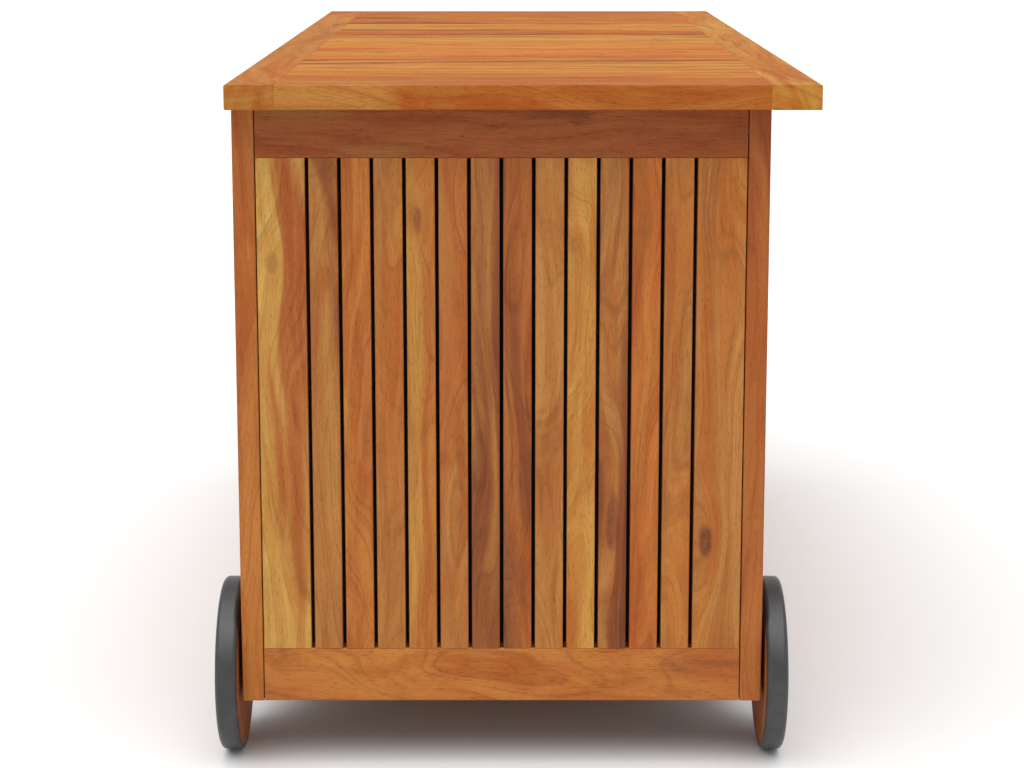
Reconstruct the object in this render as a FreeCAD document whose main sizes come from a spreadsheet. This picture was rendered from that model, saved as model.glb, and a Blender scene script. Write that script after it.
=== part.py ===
import FreeCAD, Part
import math
import operator
import os
from types import SimpleNamespace

import Sketcher
from FreeCAD import Placement, Rotation, Vector

# Deck storage box: a slatted wooden chest with a hinged lid, two wheels at one end and a
# pull handle with two legs at the other. Millimetres, +Z up, standing on z = 0.
# X runs from the wheel end to the handle end, Y from the front to the hinged back.
# The origin is under the middle of the whole object.

DRIVING_SIZES = [
    # the box body
    ("body_length", 1060, "outside length of the body, without the lid's overhang"),
    ("body_width", 437, "outside width of the body, without the wheels"),
    ("body_height", 502, "height of the body's four walls"),
    ("board_thick", 18, "thickness of rails and stiles"),
    ("slat_thick", 12, "thickness of the wall slats, flush outside with the rails"),
    ("slat_gap", 3, "open gap between neighbouring slats"),
    ("edge_round", 1.2, "eased edges of all boards"),
    ("overcut", 1, "how far a cutter passes the face it opens"),
    ("top_rail", 42, "visible height of a wall's top rail"),
    ("bottom_rail", 46, "visible height of a wall's bottom rail"),
    ("slat_tongue", 8, "length of a slat's tongue in a rail's groove"),
    ("slat_tongue_thick", 5, "thickness of that tongue"),
    ("joint_gap", 0.8, "open joint between an end wall and a long wall"),
    ("end_stile", 40, "width of the end walls' outer boards"),
    ("end_slats", 12, "number of slats in an end wall"),
    ("side_stile", 76, "width of the long walls' stiles, which also form the legs"),
    ("side_slats", 34, "number of slats in a long wall"),
    ("tenon_long", 12, "tenon of a long wall's rail in its stile"),
    ("tenon_thick", 5, "thickness of that tenon"),
    ("tenon_inset", 8, "how much lower than the rail that tenon is, above and below"),
    ("tenon_back", 1, "wood between that tenon and the rail's inner face"),
    # floor
    ("bearer_wide", 22, "width of the ledges that carry the floor"),
    ("bearer_high", 28, "height of those ledges"),
    ("bearer_lift", 2, "how far the ledges sit above the body's underside"),
    ("floor_thick", 12, "thickness of the floor boards"),
    ("floor_boards", 13, "number of floor boards"),
    ("floor_board_wide", 70, "width of a floor board"),
    ("side_play", 1, "play of floor boards and ledges between the walls"),
    # lid
    ("lid_thick", 20, "thickness of the lid's boards"),
    ("lid_overhang_front", 36.3, "lid beyond the front wall, as a grip"),
    ("lid_overhang_back", 1.4, "lid beyond the back wall"),
    ("lid_overhang_end", 35, "lid beyond each end wall"),
    ("lid_rail", 40, "width of the lid's two long rails"),
    ("lid_end_board", 74.5, "width of the lid's first and last cross board"),
    ("lid_slats", 19, "number of cross boards between those two"),
    ("lid_gap", 3, "gap between the lid's cross boards"),
    ("tongue_long", 10, "tongue of a cross board in a lid rail"),
    ("tongue_thick", 8, "thickness of that tongue"),
    ("groove_stop", 15, "plain wood at each end of the lid's rails, past their grooves"),
    ("batten_wide", 40, "width of the battens under the lid"),
    ("batten_thick", 15, "thickness of those battens"),
    ("batten_inset", 10.5, "ends of the battens to the lid's end boards"),
    ("batten_spread", 220, "distance between the two battens"),
    # wheels
    ("wheel_radius", 74, "outer radius of the tyre"),
    ("wheel_width", 18.2, "width of wheel and tyre"),
    ("tyre_thick", 5, "radial thickness of the rubber tyre"),
    ("tyre_round", 4.2, "rounding of the tyre's two shoulders"),
    ("axle_inset", 54, "axle to the wheel end's outer face"),
    ("axle_lift", 16, "axle above the body's underside"),
    ("axle_radius", 6, "radius of the steel axle"),
    ("axle_play", 0.1, "radial play of the axle in the wood"),
    ("bush_wall", 3, "wall of the wheel's plastic bush"),
    ("running_fit", 0.05, "radial running clearance of bushes, knuckles and eyes"),
    ("wheel_gap", 3.1, "wheel to long wall"),
    ("end_float", 0.3, "float of the wheel between washer and cap"),
    ("washer_radius", 12, "outer radius of the axle washers"),
    ("cap_height", 5.4, "hub cap beyond the wheel's outer face"),
    ("cap_radius", 13, "outer radius of the hub cap"),
    ("cap_skin", 1.6, "metal in front of the axle's end"),
    # hinges
    ("hinge_long", 60, "length of one hinge"),
    ("hinge_pitch", 400, "distance between neighbouring hinges"),
    ("hinge_count", 3, "number of hinges"),
    ("leaf_thick", 1.5, "thickness of a hinge leaf"),
    ("leaf_wide", 17, "width of a leaf from the lid's back edge inwards"),
    ("knuckle_radius", 4, "outer radius of the hinge knuckle"),
    ("knuckle_gap", 0.5, "knuckle to the lid's back edge"),
    ("knuckle_mid", 24, "length of the middle knuckle, which belongs to the lid"),
    ("knuckle_play", 0.4, "end play between knuckles"),
    ("pin_radius", 2.2, "radius of the hinge pin"),
    ("hinge_screw_spread", 40, "distance between the two screws of a leaf"),
    # gas struts
    ("strut_arm", 180, "distance from hinge line to both pivots of a strut"),
    ("strut_angle", 72, "angle between those two arms with the lid shut, degrees"),
    ("pivot_drop", 12, "strut's lid pivot below the underside of the lid"),
    ("strut_inset", 14, "strut's centre line to the end wall's inner face"),
    ("tube_radius", 7.5, "outer radius of the strut's cylinder"),
    ("tube_wall", 1.3, "wall of the cylinder"),
    ("tube_start", 12, "pivot to the cylinder's closed end"),
    ("rod_shown", 29.6, "cylinder's open end to the lid's pivot with the lid shut"),
    ("tube_end", 4, "thickness of the cylinder's closed end and of its rod guide"),
    ("rod_radius", 4, "radius of the polished rod"),
    ("piston_stop", 2.6, "piston to the cylinder's closed end with the lid shut"),
    ("piston_long", 8, "length of the piston"),
    ("piston_play", 0.1, "radial play of the piston"),
    ("eye_radius", 7.5, "outer radius of a strut's eye"),
    ("eye_wide", 9.2, "width of that eye"),
    ("stud_radius", 4, "radius of the bracket studs"),
    ("stud_head", 6, "radius of the studs' heads"),
    ("stud_head_long", 2.5, "thickness of the studs' heads"),
    ("plate_thick", 2, "sheet of the strut brackets"),
    ("plate_clear", 3.2, "edge of the wall bracket to the liner's back panel"),
    ("plate_high", 56, "height of the wall bracket"),
    ("plate_hole_spread", 40, "distance between the wall bracket's screws"),
    ("ear_wide", 22, "width of the lid bracket's ear"),
    ("ear_margin", 1, "ear below the stud's head"),
    ("flange_long", 50, "length of the lid bracket's flange"),
    ("flange_wide", 16, "width of the lid bracket's flange"),
    ("flange_hole_spread", 36, "distance between the lid bracket's screws"),
    # liner
    ("liner_thick", 1.5, "cloth of the inner liner"),
    ("liner_clear", 0.5, "liner to the walls"),
    ("liner_drop", 12, "liner's hem below the body's top edge"),
    ("snap_drop", 22, "press studs below the body's top edge"),
    ("snap_radius", 5.5, "radius of a press stud's cap"),
    ("snap_thick", 2, "thickness of that cap"),
    ("snap_pin", 1.6, "radius of a press stud's pin"),
    ("snap_depth", 8, "how deep that pin sits in the rail"),
    ("side_snaps", 6, "press studs along a long wall"),
    ("end_snaps", 3, "press studs along an end wall"),
    ("end_snap_inset", 60, "first of them to the end wall's edge"),
    # fasteners
    ("screw_radius", 1.75, "radius of wood screws"),
    ("screw_head", 3.5, "radius of wood screw heads"),
    ("screw_head_high", 2, "height of their countersunk heads"),
    ("floor_screw_long", 24, "length of the floor screws"),
    ("floor_screw_inset", 18, "floor screws to the edge of their board"),
    ("ledge_screw_long", 34, "length of the ledge screws"),
    ("ledge_screws", 5, "screws in one ledge"),
    ("batten_screw_long", 28, "length of the batten screws"),
    ("bracket_screw_long", 13, "length of hinge and bracket screws"),
    ("bracket_screw_radius", 1.5, "radius of hinge and bracket screws"),
    ("bracket_screw_head", 2.9, "radius of their heads"),
    ("bolt_radius", 3, "radius of the corner bolts"),
    ("bolt_head", 6.5, "radius of their flush heads"),
    ("bolt_head_high", 3, "height of those heads"),
    ("bolt_reach", 30, "corner joint to the middle of the cross dowel"),
    ("dowel_radius", 5, "radius of the cross dowels"),
    ("dowel_past", 1, "how far the cross dowels reach past the bolts"),
    # handle and feet
    ("handle_long", 220, "length of the pull handle"),
    ("handle_high", 36, "height of the pull handle"),
    ("handle_thick", 12, "thickness of the handle's bar"),
    ("handle_reach", 22, "hand space between bar and wall"),
    ("handle_block", 30, "length of a spacer block"),
    ("handle_round", 4, "rounding of the handle's bar"),
    ("handle_bolt_crown", 1, "height of its bolts' raised heads"),
    ("glide_radius", 8, "radius of the legs' glides"),
    ("glide_thick", 3, "thickness of the legs' glides"),
    ("glide_pin", 1.5, "radius of the glides' nails"),
    ("glide_pin_long", 12, "length of the glides' nails"),
]


class Size:
    """A number from the sheet, or one worked out from it, with the formula that is bound."""

    def __init__(self, number, text):
        self.number = number
        self.text = text

    def __add__(self, other):
        return combine(self, "+", other)

    def __radd__(self, other):
        return combine(other, "+", self)

    def __sub__(self, other):
        return combine(self, "-", other)

    def __rsub__(self, other):
        return combine(other, "-", self)

    def __mul__(self, other):
        return combine(self, "*", other)

    def __rmul__(self, other):
        return combine(other, "*", self)

    def __truediv__(self, other):
        return combine(self, "/", other)

    def __neg__(self):
        return combine(0, "-", self)


OPERATORS = {"+": operator.add, "-": operator.sub, "*": operator.mul, "/": operator.truediv}


def as_size(value):
    return value if isinstance(value, Size) else Size(float(value), repr(value))


def combine(left, sign, right):
    left = as_size(left)
    right = as_size(right)
    number = OPERATORS[sign](left.number, right.number)
    return Size(number, f"({left.text} {sign} {right.text})")


def cosine(angle):
    return Size(math.cos(math.radians(angle.number)), f"cos({angle.text} * 1 deg)")


def sine(angle):
    return Size(math.sin(math.radians(angle.number)), f"sin({angle.text} * 1 deg)")


def arcsine(ratio):
    return Size(math.degrees(math.asin(ratio.number)), f"(asin({ratio.text}) / 1 deg)")


def make_sheet():
    """Write the driving sizes to a sheet and return them by name."""
    sheet = doc.addObject("Spreadsheet::Sheet", "sizes")
    named = {}
    for row, (alias, value, meaning) in enumerate(DRIVING_SIZES, start=1):
        sheet.set(f"A{row}", alias)
        sheet.set(f"B{row}", str(value))
        sheet.set(f"C{row}", meaning)
        sheet.setAlias(f"B{row}", alias)
        named[alias] = Size(float(value), f"sizes.{alias}")
    doc.recompute()
    return SimpleNamespace(**named)


doc = FreeCAD.newDocument("deck_storage_box")
size = make_sheet()
pieces = []

# Turns that point a feature's own +Z along the named direction.
ALONG = {
    "+x": Rotation(Vector(0, 1, 0), 90),
    "-x": Rotation(Vector(0, 1, 0), -90),
    "+y": Rotation(Vector(1, 0, 0), -90),
    "-y": Rotation(Vector(1, 0, 0), 90),
    "+z": Rotation(),
    "-z": Rotation(Vector(1, 0, 0), 180),
}
UNIT = {"x": Vector(1, 0, 0), "y": Vector(0, 1, 0), "z": Vector(0, 0, 1)}


def bind(thing, name, value):
    thing.setExpression(name, as_size(value).text)


def move(thing, place, turn=Rotation()):
    """Put a body or a feature at a place worked out from the sheet."""
    thing.Placement = Placement(Vector(), turn)
    for axis, value in zip("xyz", place):
        bind(thing, f"Placement.Base.{axis}", value)


def new_piece(label, place=(0, 0, 0), turn=Rotation()):
    body = doc.addObject("PartDesign::Body", label)
    body.Label = label
    body.AllowCompound = True
    move(body, place, turn)
    pieces.append(body)
    return body


def add_feature(body, kind, cut):
    sign = "Subtractive" if cut else "Additive"
    return body.newObject(f"PartDesign::{sign}{kind}", f"{body.Name}_{kind}")


def block(body, corner, sides, cut=False):
    """A box from its lowest corner; cut=True takes it away."""
    feature = add_feature(body, "Box", cut)
    for name, value in zip(("Length", "Width", "Height"), sides):
        bind(feature, name, value)
    move(feature, corner)
    return feature


def rod(body, start, along, radius, length, cut=False):
    """A round bar from the centre of its first end; cut=True drills it."""
    feature = add_feature(body, "Cylinder", cut)
    bind(feature, "Radius", radius)
    bind(feature, "Height", length)
    move(feature, start, ALONG[along])
    return feature


def taper(body, start, along, first, last, length, cut=False):
    """A cone from the centre of its first end; cut=True countersinks it."""
    feature = add_feature(body, "Cone", cut)
    bind(feature, "Radius1", first)
    bind(feature, "Radius2", last)
    bind(feature, "Height", length)
    move(feature, start, ALONG[along])
    return feature


def screw(body, head, along, radius, head_radius, length, cut=False):
    """A countersunk screw, flush at its head, or with cut=True the hole it fills."""
    head_high = size.screw_head_high
    top = taper(body, head, along, head_radius, radius, head_high, cut)
    index = "xyz".index(along[1])
    shank_start = list(head)
    sign = 1 if along[0] == "+" else -1
    shank_start[index] = as_size(head[index]) + sign * head_high
    shank = rod(body, shank_start, along, radius, length - head_high, cut)
    return [top, shank]


def wood_screw(body, head, along, length, cut=False):
    return screw(body, head, along, size.screw_radius, size.screw_head, length, cut)


def bracket_screw(body, head, along, cut=False):
    return screw(body, head, along, size.bracket_screw_radius, size.bracket_screw_head,
                 size.bracket_screw_long, cut)


def ease(body, feature, axis, radius=None):
    """Round the straight edges of a feature that run along one axis."""
    doc.recompute()
    names = []
    for index, edge in enumerate(feature.Shape.Edges, start=1):
        straight = isinstance(edge.Curve, Part.Line)
        if straight and abs(edge.Curve.Direction.dot(UNIT[axis])) > 0.999:
            names.append(f"Edge{index}")
    fillet = body.newObject("PartDesign::Fillet", f"{body.Name}_Round")
    fillet.Base = (feature, names)
    bind(fillet, "Radius", radius or size.edge_round)
    return fillet


def repeat(body, features, axis, step, count):
    """Repeat the whole piece so far along one of its own axes."""
    pattern = body.newObject("PartDesign::LinearPattern", f"{body.Name}_Row")
    pattern.Originals = features
    pattern.TransformMode = "Whole shape"
    role = f"{axis.upper()}_Axis"
    line = [item for item in body.Origin.OriginFeatures if item.Role == role][0]
    pattern.Direction = (line, [""])
    bind(pattern, "Length", step * (as_size(count) - 1))
    bind(pattern, "Occurrences", count)
    body.Tip = pattern


def row_of(start, axis, step, count):
    """The places of a row of equal things, from the first one."""
    index = "xyz".index(axis)
    places = []
    for number in range(round(as_size(count).number)):
        place = list(start)
        place[index] = as_size(start[index]) + step * number
        places.append(tuple(place))
    return places


def turned(body, outline):
    """Turn an outline of (radius, distance along) points round the body's own Y axis."""
    sketch = body.newObject("Sketcher::SketchObject", f"{body.Name}_Outline")
    plane = [item for item in body.Origin.OriginFeatures if item.Role == "XY_Plane"][0]
    sketch.AttachmentSupport = (plane, [""])
    sketch.MapMode = "FlatFace"
    corners = [(as_size(across), as_size(along)) for across, along in outline]
    points = [Vector(across.number, along.number, 0) for across, along in corners]
    for index, point in enumerate(points):
        sketch.addGeometry(Part.LineSegment(point, points[(index + 1) % len(points)]), False)
    for index in range(len(points)):
        following = (index + 1) % len(points)
        sketch.addConstraint(Sketcher.Constraint("Coincident", index, 2, following, 1))
    for index, corner in enumerate(corners):
        hold_point(sketch, index, "DistanceX", -2, corner[0])
        hold_point(sketch, index, "DistanceY", -1, corner[1])
    revolution = body.newObject("PartDesign::Revolution", f"{body.Name}_Turned")
    revolution.Profile = sketch
    revolution.ReferenceAxis = (sketch, ["V_Axis"])
    revolution.Angle = 360
    sketch.Visibility = False
    return revolution


def hold_point(sketch, line, kind, axis_line, value):
    """Hold a line's first point at a distance from the sketch's origin."""
    if abs(value.number) < 1e-9:
        sketch.addConstraint(Sketcher.Constraint("PointOnObject", line, 1, axis_line))
        return
    ends = (-1, 1, line, 1) if value.number > 0 else (line, 1, -1, 1)
    length = value if value.number > 0 else -value
    row = sketch.addConstraint(Sketcher.Constraint(kind, *ends, length.number))
    sketch.setExpression(f"Constraints[{row}]", length.text)


# ---------------------------------------------------------------- places
# The body stands off centre, so that lid edge and hub cap are equally far from the origin.
hub_reach = size.wheel_gap + size.wheel_width + size.cap_height
body_middle = (size.lid_overhang_front - hub_reach) / 2
front_face = body_middle - size.body_width / 2
back_face = body_middle + size.body_width / 2
half_length = size.body_length / 2
dowel_long = size.board_thick / 2 + size.bolt_radius + size.dowel_past
body_bottom = size.wheel_radius - size.axle_lift
body_top = body_bottom + size.body_height
inner_half = half_length - size.board_thick
inner_width = size.body_width - 2 * size.board_thick
end_span = inner_width - 2 * size.joint_gap
side_span = size.body_length - 2 * size.side_stile
slat_bottom = body_bottom + size.bottom_rail
slat_long = size.body_height - size.bottom_rail - size.top_rail
slat_tongue_y = (size.slat_thick - size.slat_tongue_thick) / 2
leg_bottom = size.glide_thick
floor_level = body_bottom + size.bearer_lift + size.bearer_high
axle_x = size.axle_inset - half_length
axle_z = size.wheel_radius
lid_front = front_face - size.lid_overhang_front
lid_back = back_face + size.lid_overhang_back
lid_half = half_length + size.lid_overhang_end
hinge_y = lid_back + size.knuckle_gap + size.knuckle_radius
strut_x = inner_half - size.strut_inset
drop_angle = arcsine(size.pivot_drop / size.strut_arm)
wall_pivot_y = hinge_y - size.strut_arm * cosine(size.strut_angle + drop_angle)
wall_pivot_z = body_top - size.strut_arm * sine(size.strut_angle + drop_angle)
lid_pivot_y = hinge_y - size.strut_arm * cosine(drop_angle)
lid_pivot_z = body_top - size.pivot_drop
liner_skin = size.liner_clear + size.liner_thick
liner_back = front_face + size.board_thick + inner_width - liner_skin
plate_wide = 2 * (liner_back - size.plate_clear - wall_pivot_y)
snap_z = body_top - size.snap_drop

# A wall is drawn lying along its own X, its outer face on y = 0 and its inside towards +Y.
WALLS = {
    "front_wall": ((-half_length, front_face, 0), Rotation()),
    "back_wall": ((half_length, back_face, 0), Rotation(Vector(0, 0, 1), 180)),
    "wheel_end": ((-half_length, body_middle + end_span / 2, 0),
                  Rotation(Vector(0, 0, 1), -90)),
    "handle_end": ((half_length, body_middle - end_span / 2, 0),
                   Rotation(Vector(0, 0, 1), 90)),
}
ENDS = (("wheel_end", -1), ("handle_end", 1))
BODY_PLACE = (-half_length, front_face, 0)


# ---------------------------------------------------------------- walls
def snap_holes(body, first, step, count):
    """Holes for the press studs that hold the liner, drilled from a rail's inner face."""
    for place in row_of((first, size.board_thick, snap_z), "x", step, count):
        rod(body, place, "-y", size.snap_pin, size.snap_depth, cut=True)


def wall_rail(wall, name, start, length, level, visible, slats_above):
    """A rail with a groove along one edge, which takes the slats' tongues."""
    body = new_piece(f"{wall}_{name}", *WALLS[wall])
    timber = block(body, (start, 0, level), (length, size.board_thick, visible))
    ease(body, timber, "x")
    groove_z = level + visible - size.slat_tongue if slats_above else level
    block(body, (start - size.overcut, slat_tongue_y, groove_z),
          (length + 2 * size.overcut, size.slat_tongue_thick, size.slat_tongue), cut=True)
    return body


def upright_board(body, start, width, thick):
    """An upright board between the rails with a tongue at each end."""
    board = block(body, (start, 0, slat_bottom), (width, thick, slat_long))
    rounded = ease(body, board, "z")
    tongue = block(body, (start, slat_tongue_y, slat_bottom - size.slat_tongue),
                   (width, size.slat_tongue_thick, slat_long + 2 * size.slat_tongue))
    return [board, rounded, tongue]


def wall_slats(wall, first, span, count):
    """The row of narrow slats with open gaps between them."""
    body = new_piece(f"{wall}_slats", *WALLS[wall])
    width = (span - (count + 1) * size.slat_gap) / count
    slat = upright_board(body, first + size.slat_gap, width, size.slat_thick)
    repeat(body, slat, "x", width + size.slat_gap, count)


def long_wall(wall, leg_first):
    """Front or back wall: two full-height stiles, two tenoned rails and a row of slats."""
    tenon_y = size.board_thick - size.tenon_thick - size.tenon_back
    rails = (
        ("bottom_rail", body_bottom, size.bottom_rail, True),
        ("top_rail", body_top - size.top_rail, size.top_rail, False),
    )
    for name, level, visible, above in rails:
        body = wall_rail(wall, name, size.side_stile, side_span, level, visible, above)
        block(body, (size.side_stile - size.tenon_long, tenon_y, level + size.tenon_inset),
              (side_span + 2 * size.tenon_long, size.tenon_thick,
               visible - 2 * size.tenon_inset))
        if name == "top_rail":
            step = (side_span - 2 * size.tenon_long) / (size.side_snaps - 1)
            snap_holes(body, size.side_stile + size.tenon_long, step, size.side_snaps)
            if wall == "back_wall":
                hinge_recess(body)
        else:
            ledge_holes(body)
    for position, is_leg in ((0, leg_first), (1, not leg_first)):
        start = position * (size.body_length - size.side_stile)
        low = leg_bottom if is_leg else body_bottom
        name = "leg_stile" if is_leg else "wheel_stile"
        body = new_piece(f"{wall}_{name}", *WALLS[wall])
        timber = block(body, (start, 0, low),
                       (size.side_stile, size.board_thick, body_top - low))
        ease(body, timber, "z")
        mortise_x = start + (1 - position) * (size.side_stile - size.tenon_long)
        for _, level, visible, _ in rails:
            block(body, (mortise_x, tenon_y, level + size.tenon_inset),
                  (size.tenon_long, size.tenon_thick, visible - 2 * size.tenon_inset), cut=True)
        corner_x = start + size.board_thick / 2
        if position:
            corner_x = size.body_length - size.board_thick / 2
        for bolt_z in corner_bolt_levels():
            bolt_hole(body, (corner_x, 0, bolt_z))
        if is_leg:
            rod(body, (start + size.side_stile / 2, size.board_thick / 2, leg_bottom), "+z",
                size.glide_pin, size.glide_pin_long, cut=True)
        else:
            axle_start = size.axle_inset if leg_first is False else (
                size.body_length - size.axle_inset)
            rod(body, (axle_start, -size.overcut, axle_z), "+y",
                size.axle_radius + size.axle_play, size.board_thick + 2 * size.overcut,
                cut=True)
    wall_slats(wall, size.side_stile, side_span, size.side_slats)


def corner_bolt_levels():
    return (body_bottom + size.bottom_rail / 2, body_top - size.top_rail / 2)


def bolt_hole(body, start):
    """Flush bolt head and shank through a long wall's stile."""
    along_x, _, level = start
    rod(body, (along_x, 0, level), "+y", size.bolt_head, size.bolt_head_high, cut=True)
    rod(body, (along_x, size.bolt_head_high, level), "+y", size.bolt_radius,
        size.board_thick - size.bolt_head_high, cut=True)


def end_wall(wall):
    """End wall: full-width rails, with two wide boards and a row of slats between them."""
    bolt_levels = corner_bolt_levels()
    rails = (
        ("bottom_rail", body_bottom, size.bottom_rail, True, bolt_levels[0]),
        ("top_rail", body_top - size.top_rail, size.top_rail, False, bolt_levels[1]),
    )
    bolt_depth = size.bolt_reach + size.dowel_radius
    for name, level, visible, above, bolt_z in rails:
        body = wall_rail(wall, name, 0, end_span, level, visible, above)
        middle_y = size.board_thick / 2
        for end_x, along, dowel_x in ((0, "+x", size.bolt_reach),
                                      (end_span, "-x", end_span - size.bolt_reach)):
            rod(body, (end_x, middle_y, bolt_z), along, size.bolt_radius, bolt_depth, cut=True)
            rod(body, (dowel_x, size.board_thick, bolt_z), "-y", size.dowel_radius,
                dowel_long, cut=True)
        if name == "top_rail":
            step = (end_span - 2 * size.end_snap_inset) / (size.end_snaps - 1)
            snap_holes(body, size.end_snap_inset, step, size.end_snaps)
            if wall == "handle_end":
                handle_bolt_holes(body, 0, size.board_thick)
    body = new_piece(f"{wall}_outer_boards", *WALLS[wall])
    board = upright_board(body, 0, size.end_stile, size.board_thick)
    repeat(body, board, "x", end_span - size.end_stile, 2)
    wall_bracket_holes(body, wall)
    wall_slats(wall, size.end_stile, end_span - 2 * size.end_stile, size.end_slats)


def across_end(wall, y):
    """A place along an end wall's own X for a place on the object's Y."""
    if wall == "wheel_end":
        return body_middle + end_span / 2 - y
    return y - (body_middle - end_span / 2)


def wall_bracket_holes(body, wall):
    for sign in (-1, 1):
        level = wall_pivot_z + sign * size.plate_hole_spread / 2
        start = size.board_thick + liner_skin + size.plate_thick
        bracket_screw(body, (across_end(wall, wall_pivot_y), start, level), "-y", cut=True)


# ---------------------------------------------------------------- floor
ledge_long = 2 * (inner_half - size.side_play)
ledge_first = 4 * size.bearer_high
ledge_step = (size.body_length - 2 * ledge_first) / (size.ledge_screws - 1)
ledge_screw_z = body_bottom + size.bearer_lift + size.bearer_high / 3
screw_seat = size.board_thick + size.bearer_wide


def ledge_holes(body):
    """The ends of the ledge screws, in a long wall's bottom rail."""
    first = (ledge_first, screw_seat, ledge_screw_z)
    for head in row_of(first, "x", ledge_step, size.ledge_screws):
        wood_screw(body, head, "-y", size.ledge_screw_long, cut=True)


def floor_ledges():
    """Two ledges inside the long walls, which carry the floor and which the axle crosses."""
    body = new_piece("floor_ledges", BODY_PLACE)
    start = size.board_thick + size.side_play
    for ledge_y in (size.board_thick, size.body_width - size.board_thick - size.bearer_wide):
        block(body, (start, ledge_y, body_bottom + size.bearer_lift),
              (ledge_long, size.bearer_wide, size.bearer_high))
        rod(body, (size.axle_inset, ledge_y - size.overcut, axle_z), "+y",
            size.axle_radius + size.axle_play, size.bearer_wide + 2 * size.overcut, cut=True)
    ledge_screws(body, cut=True)
    floor_screws(body, cut=True)


def ledge_screws(body, cut):
    """Both rows of screws through the ledges into the long walls."""
    for seat_y, along in ((screw_seat, "-y"), (size.body_width - screw_seat, "+y")):
        first = (ledge_first, seat_y, ledge_screw_z)
        for head in row_of(first, "x", ledge_step, size.ledge_screws):
            wood_screw(body, head, along, size.ledge_screw_long, cut)


board_pitch = (ledge_long - size.floor_board_wide) / (size.floor_boards - 1)


def floor_screw_heads():
    """The heads of the two screws that hold the first floor board, one above each ledge."""
    screw_x = size.board_thick + size.side_play + size.floor_screw_inset
    edge = size.board_thick + size.bearer_wide / 2
    level = floor_level + size.floor_thick
    return ((screw_x, edge, level), (screw_x, size.body_width - edge, level))


def floor_screws(body, cut):
    for first in floor_screw_heads():
        for head in row_of(first, "x", board_pitch, size.floor_boards):
            wood_screw(body, head, "-z", size.floor_screw_long, cut)


def floor_boards():
    body = new_piece("floor_boards", BODY_PLACE)
    start = size.board_thick + size.side_play
    board = block(body, (start, start, floor_level),
                  (size.floor_board_wide, inner_width - 2 * size.side_play, size.floor_thick))
    rounded = ease(body, board, "y")
    holes = []
    for head in floor_screw_heads():
        holes += wood_screw(body, head, "-z", size.floor_screw_long, cut=True)
    repeat(body, [board, rounded, *holes], "x", board_pitch, size.floor_boards)


# ---------------------------------------------------------------- corner bolts
def corner_fasteners():
    """Flush bolts through the long walls and their cross dowels in the end walls' rails."""
    bolts = new_piece("corner_bolts", BODY_PLACE)
    dowels = new_piece("cross_dowels", BODY_PLACE)
    shank = (size.board_thick - size.bolt_head_high + size.joint_gap + size.bolt_reach
             - size.dowel_radius)
    middle = size.board_thick / 2
    for along_x, face in ((middle, size.board_thick),
                          (size.body_length - middle, size.body_length - size.board_thick)):
        into = "-x" if along_x is middle else "+x"
        for level in corner_bolt_levels():
            for start_y, along, sign in ((0, "+y", 1), (size.body_width, "-y", -1)):
                rod(bolts, (along_x, start_y, level), along, size.bolt_head,
                    size.bolt_head_high)
                rod(bolts, (along_x, start_y + sign * size.bolt_head_high, level), along,
                    size.bolt_radius, shank)
                depth = size.board_thick + size.joint_gap + size.bolt_reach
                rod(dowels, (face, start_y + sign * depth, level), into,
                    size.dowel_radius, dowel_long)


# ---------------------------------------------------------------- handle and glides
handle_low = body_top - size.top_rail + (size.top_rail - size.handle_high) / 2
handle_middle = end_span / 2
handle_outer = size.handle_reach + size.handle_thick


def handle_bolt_holes(body, start_y, reach, cut=True):
    """The two bolts that hold the pull handle, through bar, block and rail."""
    made = []
    for sign in (-1, 1):
        bolt_x = handle_middle + sign * (size.handle_long - size.handle_block) / 2
        made.append(rod(body, (bolt_x, start_y, handle_low + size.handle_high / 2), "+y",
                        size.bolt_radius, reach, cut))
    return made


def pull_handle():
    bar = new_piece("handle_bar", *WALLS["handle_end"])
    start = handle_middle - size.handle_long / 2
    timber = block(bar, (start, -handle_outer, handle_low),
                   (size.handle_long, size.handle_thick, size.handle_high))
    ease(bar, timber, "x", size.handle_round)
    handle_bolt_holes(bar, -handle_outer, size.handle_thick)
    blocks = new_piece("handle_blocks", *WALLS["handle_end"])
    for block_x in (start, start + size.handle_long - size.handle_block):
        block(blocks, (block_x, -size.handle_reach, handle_low),
              (size.handle_block, size.handle_reach, size.handle_high))
    handle_bolt_holes(blocks, -size.handle_reach, size.handle_reach)
    bolts = new_piece("handle_bolts", *WALLS["handle_end"])
    handle_bolt_holes(bolts, -handle_outer, handle_outer + size.board_thick, cut=False)
    for sign in (-1, 1):
        bolt_x = handle_middle + sign * (size.handle_long - size.handle_block) / 2
        level = handle_low + size.handle_high / 2
        taper(bolts, (bolt_x, -handle_outer, level), "-y", size.bolt_head, size.bolt_radius,
              size.handle_bolt_crown)


def leg_glides():
    """A nailed plastic glide under each of the two legs."""
    glides = new_piece("leg_glides", (half_length, front_face, 0))
    leg_x = -size.side_stile / 2
    for leg_y in (size.board_thick / 2, size.body_width - size.board_thick / 2):
        rod(glides, (leg_x, leg_y, 0), "+z", size.glide_radius, size.glide_thick)
        rod(glides, (leg_x, leg_y, size.glide_thick), "+z", size.glide_pin,
            size.glide_pin_long)


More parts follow.
